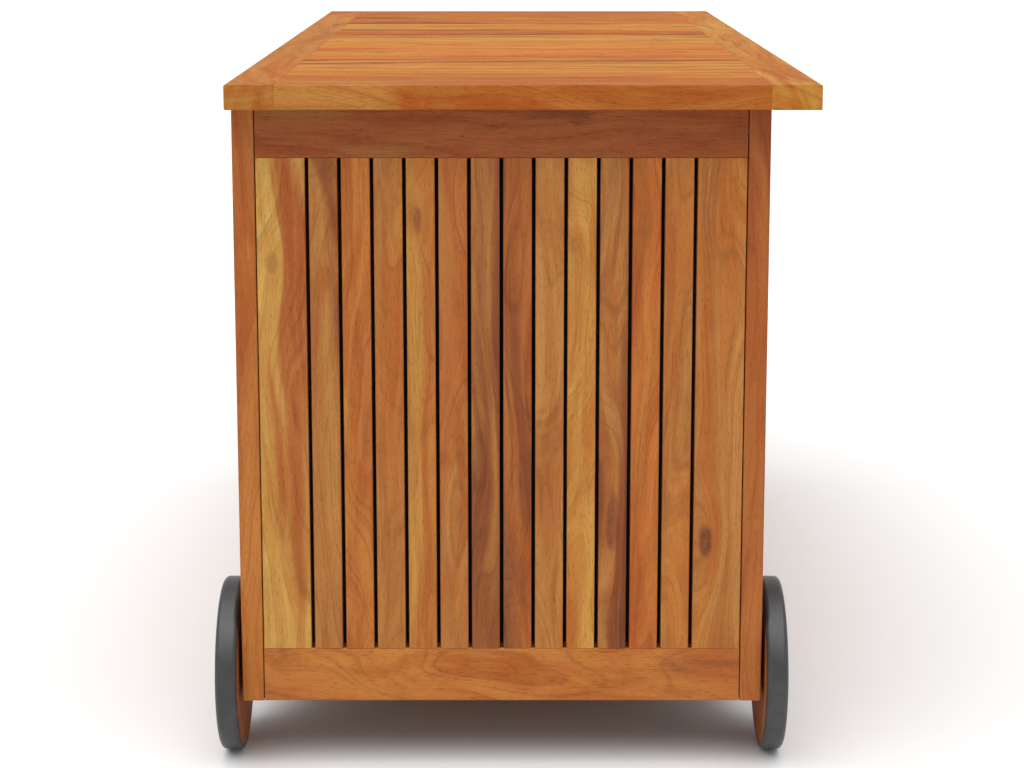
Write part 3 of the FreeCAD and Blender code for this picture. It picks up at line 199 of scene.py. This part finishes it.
def acacia(name, along, knots=(), specular=0.22):
    """Oiled acacia with its grain along one axis.

    board_tone, board_second, board_dark and board_seed come from mark_boards(). A knot is
    (centre, half size, strength), on the piece's own face.
    """
    s = Shader(name, IOR=1.45, Specular_IOR_Level=specular)
    place = s.place()
    parts = s.split(place)
    across, depth, run = (parts[i] for i in GRAIN_ORDER[along])
    if along == "z":
        across, depth = s.math("ADD", parts[0], parts[1]), s.math("SUBTRACT", parts[0], parts[1])
    seed = s.stored("board_seed")
    tone = s.stored("board_tone", "Vector")
    second = s.stored("board_second", "Vector")
    dark_share = s.stored("board_dark")
    shift = s.math("MULTIPLY", seed, SEED_STEP)

    def lengthways(per_across, per_along):
        """A place in the noise whose patterns run along the board."""
        return s.joined(s.math("MULTIPLY", across, per_across),
                        s.math("MULTIPLY", depth, per_across),
                        s.math("MULTIPLY_ADD", run, per_along, shift))

    # Knots push the grain aside and darken its middle.
    swirl, knot_dark, knot_glow = None, None, None
    for centre, half, strength in knots:
        scaled = s.vector("DIVIDE", s.vector("SUBTRACT", place, centre), half)
        length = s.node("ShaderNodeVectorMath", "Value", (scaled,), operation="LENGTH")
        reach = s.math("ADD", length, s.between(s.noise(place, scale=60.0),
                                                -KNOT_RAGGED, KNOT_RAGGED))
        push = s.math("MULTIPLY", s.steps(reach, 0.0, KNOT_REACH, 1.0, 0.0), KNOT_PUSH * strength)
        dark = s.math("MULTIPLY", s.steps(reach, 0.55, 1.15, 1.0, 0.0), strength)
        glow = s.math("MULTIPLY", s.steps(reach, 1.0, 2.6, 1.0, 0.0), strength)
        swirl = push if swirl is None else s.math("ADD", swirl, push)
        knot_dark = dark if knot_dark is None else s.math("MAXIMUM", knot_dark, dark)
        knot_glow = glow if knot_glow is None else s.math("MAXIMUM", knot_glow, glow)

    # The board is cut from a log: rings round a heart somewhere beside it.
    slow = lengthways(BEND_ACROSS, BEND_ALONG)
    lean = s.between(s.noise(slow, 1.0, rough=0.45), -BEND_ASIDE, BEND_ASIDE)
    lean_deep = s.between(s.noise(s.vector("ADD", slow, DEPTH_PLACE), 1.0, detail=1.0),
                          -BEND_DEEP, BEND_DEEP)
    heart = s.between(s.math("FRACT", s.math("MULTIPLY", seed, HEART_TURNS)),
                      -HEART_ASIDE, HEART_ASIDE)
    ring_x = s.math("ADD", s.math("ADD", across, heart), lean)
    ring_y = s.math("ADD", s.math("ADD", depth, HEART_DEEP), lean_deep)
    if swirl is not None:
        ring_x = s.math("ADD", ring_x, swirl)
    radius = s.math("SQRT", s.math("ADD", s.math("MULTIPLY", ring_x, ring_x),
                                   s.math("MULTIPLY", ring_y, ring_y)))
    rings = s.noise(s.joined(s.math("MULTIPLY", radius, RING_ACROSS),
                             s.math("MULTIPLY", run, RING_ALONG), shift),
                    1.0, detail=3.0, rough=0.55)
    fine_rings = s.noise(s.joined(s.math("MULTIPLY", radius, FINE_RING_ACROSS),
                                  s.math("MULTIPLY", run, FINE_RING_ALONG), shift), 1.0)

    # Long thin fibres, short dark pores and a ripple across the grain.
    fibres = s.noise(lengthways(FIBRE_ACROSS, FIBRE_ALONG), 1.0, rough=0.6)
    pores = s.steps(s.noise(lengthways(PORE_ACROSS, PORE_ALONG), 1.0, detail=1.0, rough=0.4),
                    0.56, 0.72)
    ripple = s.noise(lengthways(RIPPLE_ACROSS, RIPPLE_ALONG), 1.0)

    # Broad colour: the board's second tone in slanting bands, and plum-brown heartwood.
    broad_place = s.joined(s.math("MULTIPLY", ring_x, BROAD_ACROSS),
                           s.math("MULTIPLY", ring_y, BROAD_DEPTH),
                           s.math("MULTIPLY_ADD", run, BROAD_ALONG, shift))
    broad = s.noise(broad_place, 1.0)
    flame = s.noise(s.vector("ADD", broad_place, FLAME_PLACE), 2.2, detail=3.0, rough=0.6,
                    distortion=0.5)
    streak = s.noise(s.vector("ADD", broad_place, STREAK_PLACE), 1.4, detail=4.0, rough=0.6,
                     distortion=0.6)
    heartwood = s.math("MULTIPLY_ADD", dark_share, HEARTWOOD_GAIN, streak)

    base = s.mix(s.steps(broad, 0.43, 0.60), tone, second)
    red = s.vector("MULTIPLY", base, RED_TINT)
    light = s.vector("MULTIPLY", base, LIGHT_TINT)
    colour = base
    # Each pattern shows from the first value on, fully at the second, up to the share.
    for pattern, start, full, share, tint in (
            (flame, 0.48, 0.64, 0.80, red), (flame, 0.50, 0.36, 0.55, light),
            (rings, 0.44, 0.62, 0.42, red), (rings, 0.46, 0.30, 0.35, light),
            (fine_rings, 0.50, 0.70, 0.24, DARK_GRAIN), (heartwood, 0.66, 0.86, 0.62, PLUM_GRAIN),
            (fibres, 0.45, 0.75, 0.18, DARK_GRAIN), (pores, None, None, 0.34, DARK_GRAIN),
            (ripple, 0.45, 0.75, 0.16, light)):
        shown = pattern if start is None else s.steps(pattern, start, full)
        colour = s.mix(s.math("MULTIPLY", shown, share), colour, tint)
    if knot_dark is not None:
        colour = s.mix(s.math("MULTIPLY", knot_glow, 0.55), colour, red)
        rim = s.steps(s.noise(place, scale=420.0), 0.35, 0.65, 0.70, 1.0)
        colour = s.mix(s.math("MULTIPLY", knot_dark, s.math("MULTIPLY", rim, 0.85)),
                       colour, KNOT_BROWN)

    rough = s.math("ADD", s.between(fibres, 0.46, 0.62), s.math("MULTIPLY", pores, 0.12))
    height = s.math("SUBTRACT", s.math("MULTIPLY_ADD", fibres, 0.5,
                                       s.math("MULTIPLY", fine_rings, 0.3)),
                    s.math("MULTIPLY", pores, 0.8))
    return s.finish(colour, rough, s.bump(height, 0.12 * MM, 0.7))


HUNDREDTHS = 1e5            # of a millimetre in a metre, for comparing points
BRIGHTNESS = (0.94, 1.05)   # darkest and lightest board of one tone


def boards_of(obj):
    """The separate boards in one node, each as its vertices, from where the points coincide."""
    mesh = obj.data
    parent = list(range(len(mesh.vertices)))

    def root(i):
        while parent[i] != i:
            parent[i] = parent[parent[i]]
            i = parent[i]
        return i

    seen = {}
    for v in mesh.vertices:
        key = tuple(round(c * HUNDREDTHS) for c in v.co)
        if key in seen:
            parent[root(v.index)] = root(seen[key])
        else:
            seen[key] = v.index
    for edge in mesh.edges:
        parent[root(edge.vertices[0])] = root(edge.vertices[1])
    groups = {}
    for v in mesh.vertices:
        groups.setdefault(root(v.index), []).append(v.index)
    return list(groups.values())


def mark_boards(node, boards, order, seed):
    """Gives each board of a node its two tones, its share of heartwood and its place in the log.

    Boards are (tone, second tone, heartwood share), counted along order and repeated in turn. A
    string of tone names leaves the choice to chance.
    """
    obj = NODES[node]
    mesh = obj.data
    pick = random.Random(seed)
    direction = Vector(order)

    def middle(board):
        spots = [mesh.vertices[i].co.dot(direction) for i in board]
        return (min(spots) + max(spots)) / 2

    for name, kind in (("board_tone", "FLOAT_VECTOR"), ("board_second", "FLOAT_VECTOR"),
                       ("board_dark", "FLOAT"), ("board_seed", "FLOAT")):
        mesh.attributes.new(name, kind, "POINT")
    layers = mesh.attributes
    for number, board in enumerate(sorted(boards_of(obj), key=middle)):
        if isinstance(boards, str):
            names = boards.split()
            first, second, dark = pick.choice(names), pick.choice(names), pick.random() ** 2
        else:
            first, second, dark = boards[number % len(boards)]
        share, board_seed = pick.uniform(*BRIGHTNESS), pick.random()
        for i in board:
            layers["board_tone"].data[i].vector = [c * share for c in WOOD[first]]
            layers["board_second"].data[i].vector = [c * share for c in WOOD[second]]
            layers["board_dark"].data[i].value = dark
            layers["board_seed"].data[i].value = board_seed


def dress(node, material):
    """The CAD node takes this material in every slot."""
    mesh = NODES[node].data
    mesh.materials.clear()
    mesh.materials.append(material)
    for face in mesh.polygons:
        face.material_index = 0


LEFT_TO_RIGHT = (0, -1, 0)
FROM_WHEELS = (1, 0, 0)
BOTTOM_UP = (0, 0, 1)

# Wheel end, as the photograph shows it.
end_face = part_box("wheel_end_outer_boards")[0].x
knots = (
    ((end_face, -0.1650, 0.196), (0.05, 0.0070, 0.0160), 1.0),
    ((end_face, 0.1925, 0.432), (0.05, 0.0060, 0.0110), 0.35),
)
swirls = (
    ((end_face, 0.0730, 0.467), (0.05, 0.0045, 0.0120), 0.60),
    ((end_face, -0.0870, 0.213), (0.05, 0.0060, 0.0280), 0.75),
)
upright = acacia("acacia_upright", "z")
upright_knots = acacia("acacia_upright_with_knots", "z", knots)
upright_swirls = acacia("acacia_upright_with_swirls", "z", swirls)
crosswise = acacia("acacia_crosswise", "y")
crosswise_lid = acacia("acacia_lid_crosswise", "y", specular=0.02)
lengthwise = acacia("acacia_lengthwise", "x")
lengthwise_lid = acacia("acacia_lid_lengthwise", "x", specular=0.02)

END_SLATS = (
    ("tan", "umber", 0.25), ("amber", "orange", 0.05), ("tan", "amber", 0.05),
    ("amber", "gold", 0.20), ("orange", "tan", 0.10), ("umber", "tan", 0.45),
    ("orange", "umber", 0.45), ("amber", "tan", 0.05), ("gold", "amber", 0.05),
    ("tan", "umber", 0.75), ("copper", "amber", 0.05), ("tan", "amber", 0.10),
)
MIXED = "umber amber tan gold orange pale russet"
EVEN = "honey gold honey amber gold copper"

mark_boards("wheel_end_slats", END_SLATS, LEFT_TO_RIGHT, 11)
dress("wheel_end_slats", upright_swirls)
# The outer board on the back wall's side is paler than the other: partly its own tone, partly
# painted light falling from that side.
mark_boards("wheel_end_outer_boards", (("pale", "orange", 0.05), ("amber", "tan", 0.1)),
            LEFT_TO_RIGHT, 12)
dress("wheel_end_outer_boards", upright_knots)
mark_boards("handle_end_slats", MIXED, LEFT_TO_RIGHT, 13)
mark_boards("handle_end_outer_boards", MIXED, LEFT_TO_RIGHT, 14)
for node in ("handle_end_slats", "handle_end_outer_boards"):
    dress(node, upright)
for number, end in enumerate(("wheel_end", "handle_end")):
    # The top rails take a darker russet tone: partly the wood's own, partly painted shade under the
    # lid's overhang.
    mark_boards(f"{end}_top_rail", (("russet", "olive", 0.35),), BOTTOM_UP, 21 + number)
    mark_boards(f"{end}_bottom_rail", (("orange", "amber", 0.15),), BOTTOM_UP, 23 + number)
    for rail in ("top_rail", "bottom_rail"):
        dress(f"{end}_{rail}", crosswise)

for number, wall in enumerate(("front_wall", "back_wall")):
    # The front wall's wheel-end stile is darker than the back wall's: painted shade, standing for
    # light falling from the back wall's side.
    wheel_stile = ("orange", "russet", 0.1) if number == 0 else ("amber", "orange", 0.0)
    mark_boards(f"{wall}_slats", MIXED, FROM_WHEELS, 31 + number)
    mark_boards(f"{wall}_wheel_stile", (wheel_stile,), BOTTOM_UP, 33 + number)
    mark_boards(f"{wall}_leg_stile", (("amber", "tan", 0.1),), BOTTOM_UP, 35 + number)
    # The top rails take a darker russet tone: partly the wood's own, partly painted shade under the
    # lid's overhang.
    mark_boards(f"{wall}_top_rail", (("russet", "orange", 0.3),), BOTTOM_UP, 37 + number)
    mark_boards(f"{wall}_bottom_rail", (("orange", "amber", 0.15),), BOTTOM_UP, 39 + number)
    for part in ("slats", "wheel_stile", "leg_stile"):
        dress(f"{wall}_{part}", upright)
    for part in ("top_rail", "bottom_rail"):
        dress(f"{wall}_{part}", lengthwise)

mark_boards("lid_slats", EVEN, FROM_WHEELS, 41)
mark_boards("lid_wheel_end_board", (("orange", "tan", 0.05),), FROM_WHEELS, 42)
mark_boards("lid_handle_end_board", (("amber", "orange", 0.1),), FROM_WHEELS, 43)
for node in ("lid_slats", "lid_wheel_end_board", "lid_handle_end_board"):
    dress(node, crosswise_lid)
mark_boards("lid_front_rail", (("gold", "amber", 0.0),), LEFT_TO_RIGHT, 44)
mark_boards("lid_back_rail", (("amber", "tan", 0.0),), LEFT_TO_RIGHT, 45)
for node in ("lid_front_rail", "lid_back_rail"):
    dress(node, lengthwise_lid)

mark_boards("floor_boards", "tan olive amber pale", FROM_WHEELS, 51)
dress("floor_boards", crosswise)
mark_boards("floor_ledges", "tan olive", LEFT_TO_RIGHT, 52)
mark_boards("lid_battens", "tan amber", LEFT_TO_RIGHT, 53)
for node in ("floor_ledges", "lid_battens"):
    dress(node, lengthwise)
mark_boards("handle_bar", (("orange", "amber", 0.1),), FROM_WHEELS, 54)
mark_boards("handle_blocks", "amber tan", LEFT_TO_RIGHT, 55)
for node in ("handle_bar", "handle_blocks"):
    dress(node, crosswise)
for number, side in enumerate(("front_wheel", "back_wheel")):
    mark_boards(f"{side}_disc", (("orange", "russet", 0.2),), BOTTOM_UP, 61 + number)
    dress(f"{side}_disc", upright)


# ---------------------------------------------------------------- rubber, metal, plastic

def rubber():
    """Dark grey rubber with fine moulding grain and a dusty bloom."""
    s = Shader("rubber", Specular_IOR_Level=0.55)
    place = s.place()
    grain = s.noise(place, scale=2600.0, rough=0.6)
    bloom = s.noise(place, scale=38.0, detail=4.0, rough=0.6)
    colour = s.mix(s.steps(bloom, 0.40, 0.75), srgb(42, 41, 43), srgb(56, 55, 56))
    rough = s.between(bloom, 0.30, 0.50)
    return s.finish(colour, rough, s.bump(grain, 0.10 * MM, 0.5))


def zinc():
    """Zinc-plated steel with faint crystals and handling marks."""
    s = Shader("zinc", Metallic=1.0)
    place = s.place()
    crystals = s.node("ShaderNodeTexVoronoi", "Distance", {"Vector": place, "Scale": 420.0})
    wear = s.noise(place, scale=90.0, detail=4.0, rough=0.65)
    colour = s.mix(s.steps(wear, 0.35, 0.70), srgb(150, 152, 154), srgb(196, 197, 196))
    rough = s.math("ADD", s.math("MULTIPLY", wear, 0.24), s.between(crystals, 0.20, 0.30))
    return s.finish(colour, rough, s.bump(wear, 0.05 * MM, 0.4))


def enamel():
    """Black powder coat with its orange-peel skin."""
    s = Shader("enamel", Specular_IOR_Level=0.5)
    place = s.place()
    peel = s.noise(place, scale=1400.0)
    dust = s.noise(place, scale=60.0, detail=3.0, rough=0.6)
    colour = s.mix(s.steps(dust, 0.45, 0.75), srgb(26, 26, 27), srgb(40, 39, 38))
    rough = s.between(dust, 0.34, 0.52)
    return s.finish(colour, rough, s.bump(peel, 0.08 * MM, 0.6))


TURNING_LINES = (40.0, 1.0, 2400.0)     # how often they change in a metre, along each axis


def chrome():
    """Ground and polished rod with fine turning lines round it and a film of oil."""
    s = Shader("chrome", Metallic=1.0)
    place = s.place()
    lines = s.noise(s.vector("MULTIPLY", place, TURNING_LINES), 1.0, detail=1.0)
    film = s.noise(place, scale=70.0, detail=3.0)
    colour = s.mix(film, srgb(205, 207, 210), srgb(226, 227, 228))
    rough = s.between(film, 0.10, 0.20)
    return s.finish(colour, rough, s.bump(lines, 0.01 * MM, 0.3))


def nylon():
    """Black moulded nylon, slightly cloudy."""
    s = Shader("nylon", Specular_IOR_Level=0.5)
    place = s.place()
    cloud = s.noise(place, scale=120.0, detail=3.0, rough=0.6)
    grain = s.noise(place, scale=3000.0, detail=1.0)
    colour = s.mix(cloud, srgb(20, 20, 21), srgb(38, 38, 39))
    rough = s.between(cloud, 0.38, 0.58)
    return s.finish(colour, rough, s.bump(grain, 0.05 * MM, 0.4))


tyre, steel, coated, polished, moulded = rubber(), zinc(), enamel(), chrome(), nylon()
FINISHES = {"tyre_rubber": tyre, "zinc_steel": steel, "black_steel": coated,
            "polished_rod": polished, "black_nylon": moulded}
for node, obj in NODES.items():
    slot = obj.data.materials[0].name
    if slot in FINISHES:
        dress(node, FINISHES[slot])


# ---------------------------------------------------------------- cloth liner

CLOTH = 0.8 * MM           # thickness of the liner's cloth
CORNER = 5 * MM            # rounding of its sewn corners
CORNER_STEPS = 4           # faces round one of them
HEM = 26 * MM              # height of the doubled band at its top
MESH_STEP = 11 * MM        # spacing of its mesh
LOOSE_LONG = 6.5 * MM      # how far it hangs off the front wall between its press studs
LOOSE_END = 2.2 * MM       # and off the end walls, where the struts pass
HOLD = 55 * MM             # how far a press stud or bracket keeps it flat
LONG_WALL = 0.5            # a wall whose inward way points along Y by more than this is long
FOLD_TURN, FOLD_SWAY = 61, 1.7         # folds of the hung cloth, and how they sway
SWAY_TURN, SWAY_RISE = 17, 5
CRUMPLE = (9, 3, 7)        # finer unevenness, along the wall, into it and up
FOLD_SHARE, CRUMPLE_SHARE = 0.55, 0.45
FLOOR_STEP = 1.4 * MESH_STEP           # spacing of the mesh on the floor
FLOOR_WAVE, FLOOR_RIDGE = 1.2 * MM, 2.2 * MM    # height of its waves and of its creases
WAVE_TURN, WAVE_PLACE = 7, 3.1
RIDGE_TURN, RIDGE_SWAY, RIDGE_SWAY_TURN, RIDGE_SHARPNESS = 23, 2.2, 9, 4
HEM_ROWS = (0, 2 * MM, 9 * MM, 17 * MM)         # rows of points above the hem's lower edge
HEM_EDGE = 2 * MM          # and the last one below its top
SEAM_INSET, SEAM_RADIUS = 2.6 * MM, 1.1 * MM
SEAM_LIFT = 3 * MM         # lower end of the corner seams above the liner's underside
UPRIGHT_STEPS, BOTTOM_STEPS = 30, 40
STITCH = 4.5 * MM          # from one stitch to the next
STITCH_EDGE = 3 * MM       # from the rows of stitches to the hem's edges
STITCH_OUT = 2.1 * CLOTH   # from the bag's middle surface to the thread
STITCH_FROM, STITCH_TO = 0.12, 0.72     # the thread on the outside, as shares of a stitch
THREAD_RADIUS = 0.35 * MM
THREADS = 0.9 * MM         # width of one thread's wave in the weave


def smooth(value, end):
    share = min(max(value / end, 0.0), 1.0)
    return share * share * (3 - 2 * share)


def stretched(point, turns):
    return Vector([c * turn for c, turn in zip(point, turns)])


def share_of(wave):
    """A wave between -1 and 1 as a share between 0 and 1."""
    return 0.5 + 0.5 * wave


def centres(node):
    """The middle of each solid in a node."""
    found = []
    for solid in boards_of(NODES[node]):
        points = [NODES[node].data.vertices[i].co for i in solid]
        low = Vector(map(min, zip(*points)))
        high = Vector(map(max, zip(*points)))
        found.append((low + high) / 2)
    return found


def cloth_material():
    """Black woven polyester: crossing threads, a soft sheen and a little lint."""
    s = Shader("liner_weave", Sheen_Weight=0.25, Sheen_Roughness=0.5, Specular_IOR_Level=0.3)
    place = s.place()
    x, y, z = s.split(place)
    level = s.math("ADD", x, y)
    wave = 2 * math.pi / THREADS
    warp = s.math("SINE", s.math("MULTIPLY", level, wave))
    weft = s.math("SINE", s.math("MULTIPLY", s.math("ADD", z, s.math("SUBTRACT", x, y)), wave))
    weave = s.math("MULTIPLY", warp, weft)
    lint = s.noise(place, scale=900.0, rough=0.7)
    fade = s.noise(place, scale=9.0, detail=3.0, rough=0.55)
    colour = s.mix(s.steps(fade, 0.35, 0.70), srgb(19, 19, 20), srgb(34, 34, 35))
    colour = s.mix(s.math("MULTIPLY", s.steps(lint, 0.66, 0.80), 0.30), colour, srgb(92, 90, 88))
    rough = s.between(weave, 0.86, 0.91)
    return s.finish(colour, rough, s.bump(weave, 0.12 * MM, 0.6))


def thread_material():
    s = Shader("liner_thread", Roughness=0.6)
    fuzz = s.noise(s.place(), scale=1500.0)
    colour = s.mix(fuzz, srgb(34, 34, 35), srgb(62, 61, 60))
    return s.finish(colour, None, s.bump(fuzz, 0.05 * MM))


def outline(low, high, corner):
    """Points and inward ways round a rectangle with rounded corners, evenly spaced."""
    points = []
    mid_y = (low.y + high.y) / 2
    turns = ((high.x, high.y, 0), (low.x, high.y, 90), (low.x, low.y, 180), (high.x, low.y, 270))
    for number, (x, y, start) in enumerate(turns):
        middle = Vector((x - math.copysign(corner, x), y - math.copysign(corner, y - mid_y)))
        for step in range(CORNER_STEPS + 1):
            angle = math.radians(start + 90 * step / CORNER_STEPS)
            way = Vector((math.cos(angle), math.sin(angle)))
            points.append((middle + way * corner, -way))
        next_x, next_y, _ = turns[(number + 1) % 4]
        first = points[-1][0]
        if number % 2 == 0:
            last = Vector((next_x - math.copysign(corner, next_x), first.y))
        else:
            last = Vector((first.x, next_y - math.copysign(corner, next_y - mid_y)))
        count = max(2, round((last - first).length / MESH_STEP))
        for step in range(1, count):
            points.append((first.lerp(last, step / count), points[-1][1]))
    return points


class Liner:
    """The bag's walls: how far the cloth hangs off the boards at each place."""

    def __init__(self):
        self.low, self.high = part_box("liner")
        self.held = centres("liner_snaps") + centres("wall_brackets")
        self.ring = outline(self.low, self.high, CORNER)

    def slack(self, point, way, level):
        near = min((Vector((point.x, point.y, level)) - spot).length for spot in self.held)
        free = smooth(near, HOLD) * smooth(level - self.low.z, 2 * HOLD)
        if abs(way.y) > LONG_WALL:
            along, loose = point.x, LOOSE_LONG
            # Flat at the corners and all over the back wall.
            free *= smooth(min(self.high.x - abs(point.x), max(self.high.y - point.y, 0)),
                           2 * HOLD)
        else:
            along, loose = point.y, LOOSE_END
        top = smooth(level - self.low.z, self.high.z - self.low.z)
        sway = FOLD_SWAY * math.sin(along * SWAY_TURN + level * SWAY_RISE)
        folds = share_of(math.sin(along * FOLD_TURN + sway))
        crumple = share_of(noise.noise(stretched((along, point.y, level), CRUMPLE)))
        return CLOTH / 2 + loose * free * (FOLD_SHARE * folds * top + CRUMPLE_SHARE * crumple)

    def at(self, point, way, level, inside=0.0):
        place = point + way * (self.slack(point, way, level) + inside)
        return (place.x, place.y, level)


def new_cloth(name, points, faces, material, thickness):
    mesh = bpy.data.meshes.new(name)
    mesh.from_pydata(points, [], faces)
    mesh.materials.append(material)
    for face in mesh.polygons:
        face.use_smooth = True
    obj = bpy.data.objects.new(name, mesh)
    bpy.context.scene.collection.objects.link(obj)
    skin = obj.modifiers.new("thickness", "SOLIDIFY")
    skin.thickness, skin.offset = thickness, 0.0
    return obj


def band(liner, levels, inside):
    """Points and faces of a closed band round the bag, one ring of points for each level."""
    points = [liner.at(point, way, level, inside) for level in levels
              for point, way in liner.ring]
    count = len(liner.ring)
    faces = [(row * count + i, row * count + (i + 1) % count,
              (row + 1) * count + (i + 1) % count, (row + 1) * count + i)
             for row in range(len(levels) - 1) for i in range(count)]
    return points, faces


def liner_bag(liner, material):
    low, high = liner.low, liner.high
    wall_low = low.z + CLOTH
    rows = round((high.z - wall_low) / MESH_STEP)
    levels = [wall_low + (high.z - wall_low) * row / rows for row in range(rows + 1)]
    points, faces = band(liner, levels, 0.0)
    across = round((high.x - low.x) / FLOOR_STEP)
    deep = round((high.y - low.y) / FLOOR_STEP)
    start = len(points)
    for i in range(across + 1):
        for j in range(deep + 1):
            x = low.x + CLOTH + (high.x - low.x - 2 * CLOTH) * i / across
            y = low.y + CLOTH + (high.y - low.y - 2 * CLOTH) * j / deep
            edge = min(x - low.x, high.x - x, y - low.y, high.y - y)
            wave = share_of(noise.noise(Vector((x * WAVE_TURN, y * WAVE_TURN, WAVE_PLACE))))
            sway = RIDGE_SWAY * math.sin(y * RIDGE_SWAY_TURN)
            ridge = max(0.0, math.sin(x * RIDGE_TURN + sway)) ** RIDGE_SHARPNESS
            lift = smooth(edge, 2 * HOLD) * (FLOOR_WAVE * wave + FLOOR_RIDGE * ridge * wave)
            points.append((x, y, low.z + CLOTH / 2 + lift))
    for i in range(across):
        for j in range(deep):
            a = start + i * (deep + 1) + j
            faces.append((a, a + deep + 1, a + deep + 2, a + 1))
    bag = new_cloth("liner_bag", points, faces, material, CLOTH)
    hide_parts("liner")
    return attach(bag, "box")


def liner_hem(liner, material):
    """The band turned in and sewn down round the bag's mouth."""
    top = liner.high.z
    levels = [top - HEM + row for row in HEM_ROWS] + [top - HEM_EDGE, top]
    hem = new_cloth("liner_hem", *band(liner, levels, CLOTH), material, 1.1 * CLOTH)
    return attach(hem, "box")


def tube(name, path, radius, material):
    """A thin round cord sewn along each run of a path."""
    curve = bpy.data.curves.new(name, "CURVE")
    curve.dimensions, curve.bevel_depth, curve.bevel_resolution = "3D", radius, 2
    for run in path:
        spline = curve.splines.new("POLY")
        spline.points.add(len(run) - 1)
        for point, spot in zip(spline.points, run):
            point.co = (*spot, 1.0)
    curve.materials.append(material)
    obj = bpy.data.objects.new(name, curve)
    bpy.context.scene.collection.objects.link(obj)
    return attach(obj, "box")


def liner_seams(liner, material):
    """Bound seams down the four corners and round the bottom."""
    low, high = liner.low, liner.high
    start, end = low.z + SEAM_LIFT, high.z - HEM
    left, right = low.x + SEAM_INSET, high.x - SEAM_INSET
    front, back = low.y + SEAM_INSET, high.y - SEAM_INSET
    corners = [(left, front), (left, back), (right, back), (right, front)]
    uprights = [[(x, y, start + (end - start) * i / UPRIGHT_STEPS)
                 for i in range(UPRIGHT_STEPS + 1)] for x, y in corners]
    ring = [Vector((x, y, low.z + SEAM_INSET)) for x, y in corners]
    bottom = [[tuple(first.lerp(last, i / BOTTOM_STEPS)) for i in range(BOTTOM_STEPS + 1)]
              for first, last in zip(ring, ring[1:] + ring[:1])]
    return tube("liner_seams", uprights + bottom, SEAM_RADIUS, material)


def liner_stitches(liner, thread):
    """A row of stitches under the hem's top and above its lower edge."""
    runs = []
    for level in (liner.high.z - HEM + STITCH_EDGE, liner.high.z - STITCH_EDGE):
        loop = [Vector(liner.at(point, way, level, STITCH_OUT)) for point, way in liner.ring]
        gone, target, start = 0.0, STITCH, loop[0]
        for first, last in zip(loop, loop[1:] + loop[:1]):
            length = (last - first).length
            while gone + length >= target and length > 0:
                spot = first.lerp(last, (target - gone) / length)
                if (spot - start).length > STITCH / 3:
                    runs.append([tuple(start.lerp(spot, STITCH_FROM)),
                                 tuple(start.lerp(spot, STITCH_TO))])
                start, target = spot, target + STITCH
            gone += length
    return tube("liner_stitches", runs, THREAD_RADIUS, thread)


cloth = cloth_material()
liner = Liner()
bag = liner_bag(liner, cloth)
hem = liner_hem(liner, cloth)
seams = liner_seams(liner, cloth)
stitches = liner_stitches(liner, thread_material())


# ---------------------------------------------------------------- floor, light and camera

FLOOR_HALF = 30.0          # half the studio floor's side, so that its edge stays out of view
FLOOR_GREY = 0.74
SKY_STRENGTH = 0.77
KEY_DIRECTION, KEY_STRENGTH, KEY_SPREAD = (0.30, -0.10, -1.0), 2.8, math.radians(75.0)

CAMERA_PLACE = (-2.430, -0.00385, 0.7338)
CAMERA_PITCH = math.radians(9.98)      # downwards
LENS, SENSOR, SHIFT_Y = 82.83, 36.0, -0.08


def studio_floor():
    """A large pale floor under the object."""
    side = FLOOR_HALF
    mesh = bpy.data.meshes.new("studio_floor")
    corners = [(-side, -side, 0), (side, -side, 0), (side, side, 0), (-side, side, 0)]
    mesh.from_pydata(corners, [], [(0, 1, 2, 3)])
    floor = bpy.data.objects.new("studio_floor", mesh)
    bpy.context.scene.collection.objects.link(floor)
    s = Shader("studio_white", Base_Color=(FLOOR_GREY, FLOOR_GREY, FLOOR_GREY, 1.0),
               Roughness=0.95, Specular_IOR_Level=0.0)
    floor.data.materials.append(s.material)


def soft_sun():
    """A sun with a wide disc: even light over the whole floor, with soft shadows."""
    lamp = bpy.data.lights.new("key", "SUN")
    lamp.energy, lamp.angle = KEY_STRENGTH, KEY_SPREAD
    obj = bpy.data.objects.new("key", lamp)
    obj.rotation_euler = Vector(KEY_DIRECTION).to_track_quat("-Z", "Y").to_euler()
    bpy.context.scene.collection.objects.link(obj)


def studio():
    studio_floor()
    world = bpy.data.worlds.new("studio")
    world.use_nodes = True
    background = world.node_tree.nodes["Background"]
    background.inputs["Color"].default_value = (1.0, 1.0, 1.0, 1.0)
    background.inputs["Strength"].default_value = SKY_STRENGTH
    bpy.context.scene.world = world
    soft_sun()


def photograph_camera():
    """Looks along +X from beyond the wheel end, from well above the lid."""
    camera = bpy.data.cameras.new("camera")
    camera.sensor_width, camera.lens, camera.shift_y = SENSOR, LENS, SHIFT_Y
    obj = bpy.data.objects.new("camera", camera)
    obj.location = CAMERA_PLACE
    obj.rotation_euler = (math.pi / 2 - CAMERA_PITCH, 0.0, -math.pi / 2)
    bpy.context.scene.collection.objects.link(obj)
    bpy.context.scene.camera = obj


studio()
photograph_camera()
bpy.context.scene.view_settings.view_transform = "Standard"
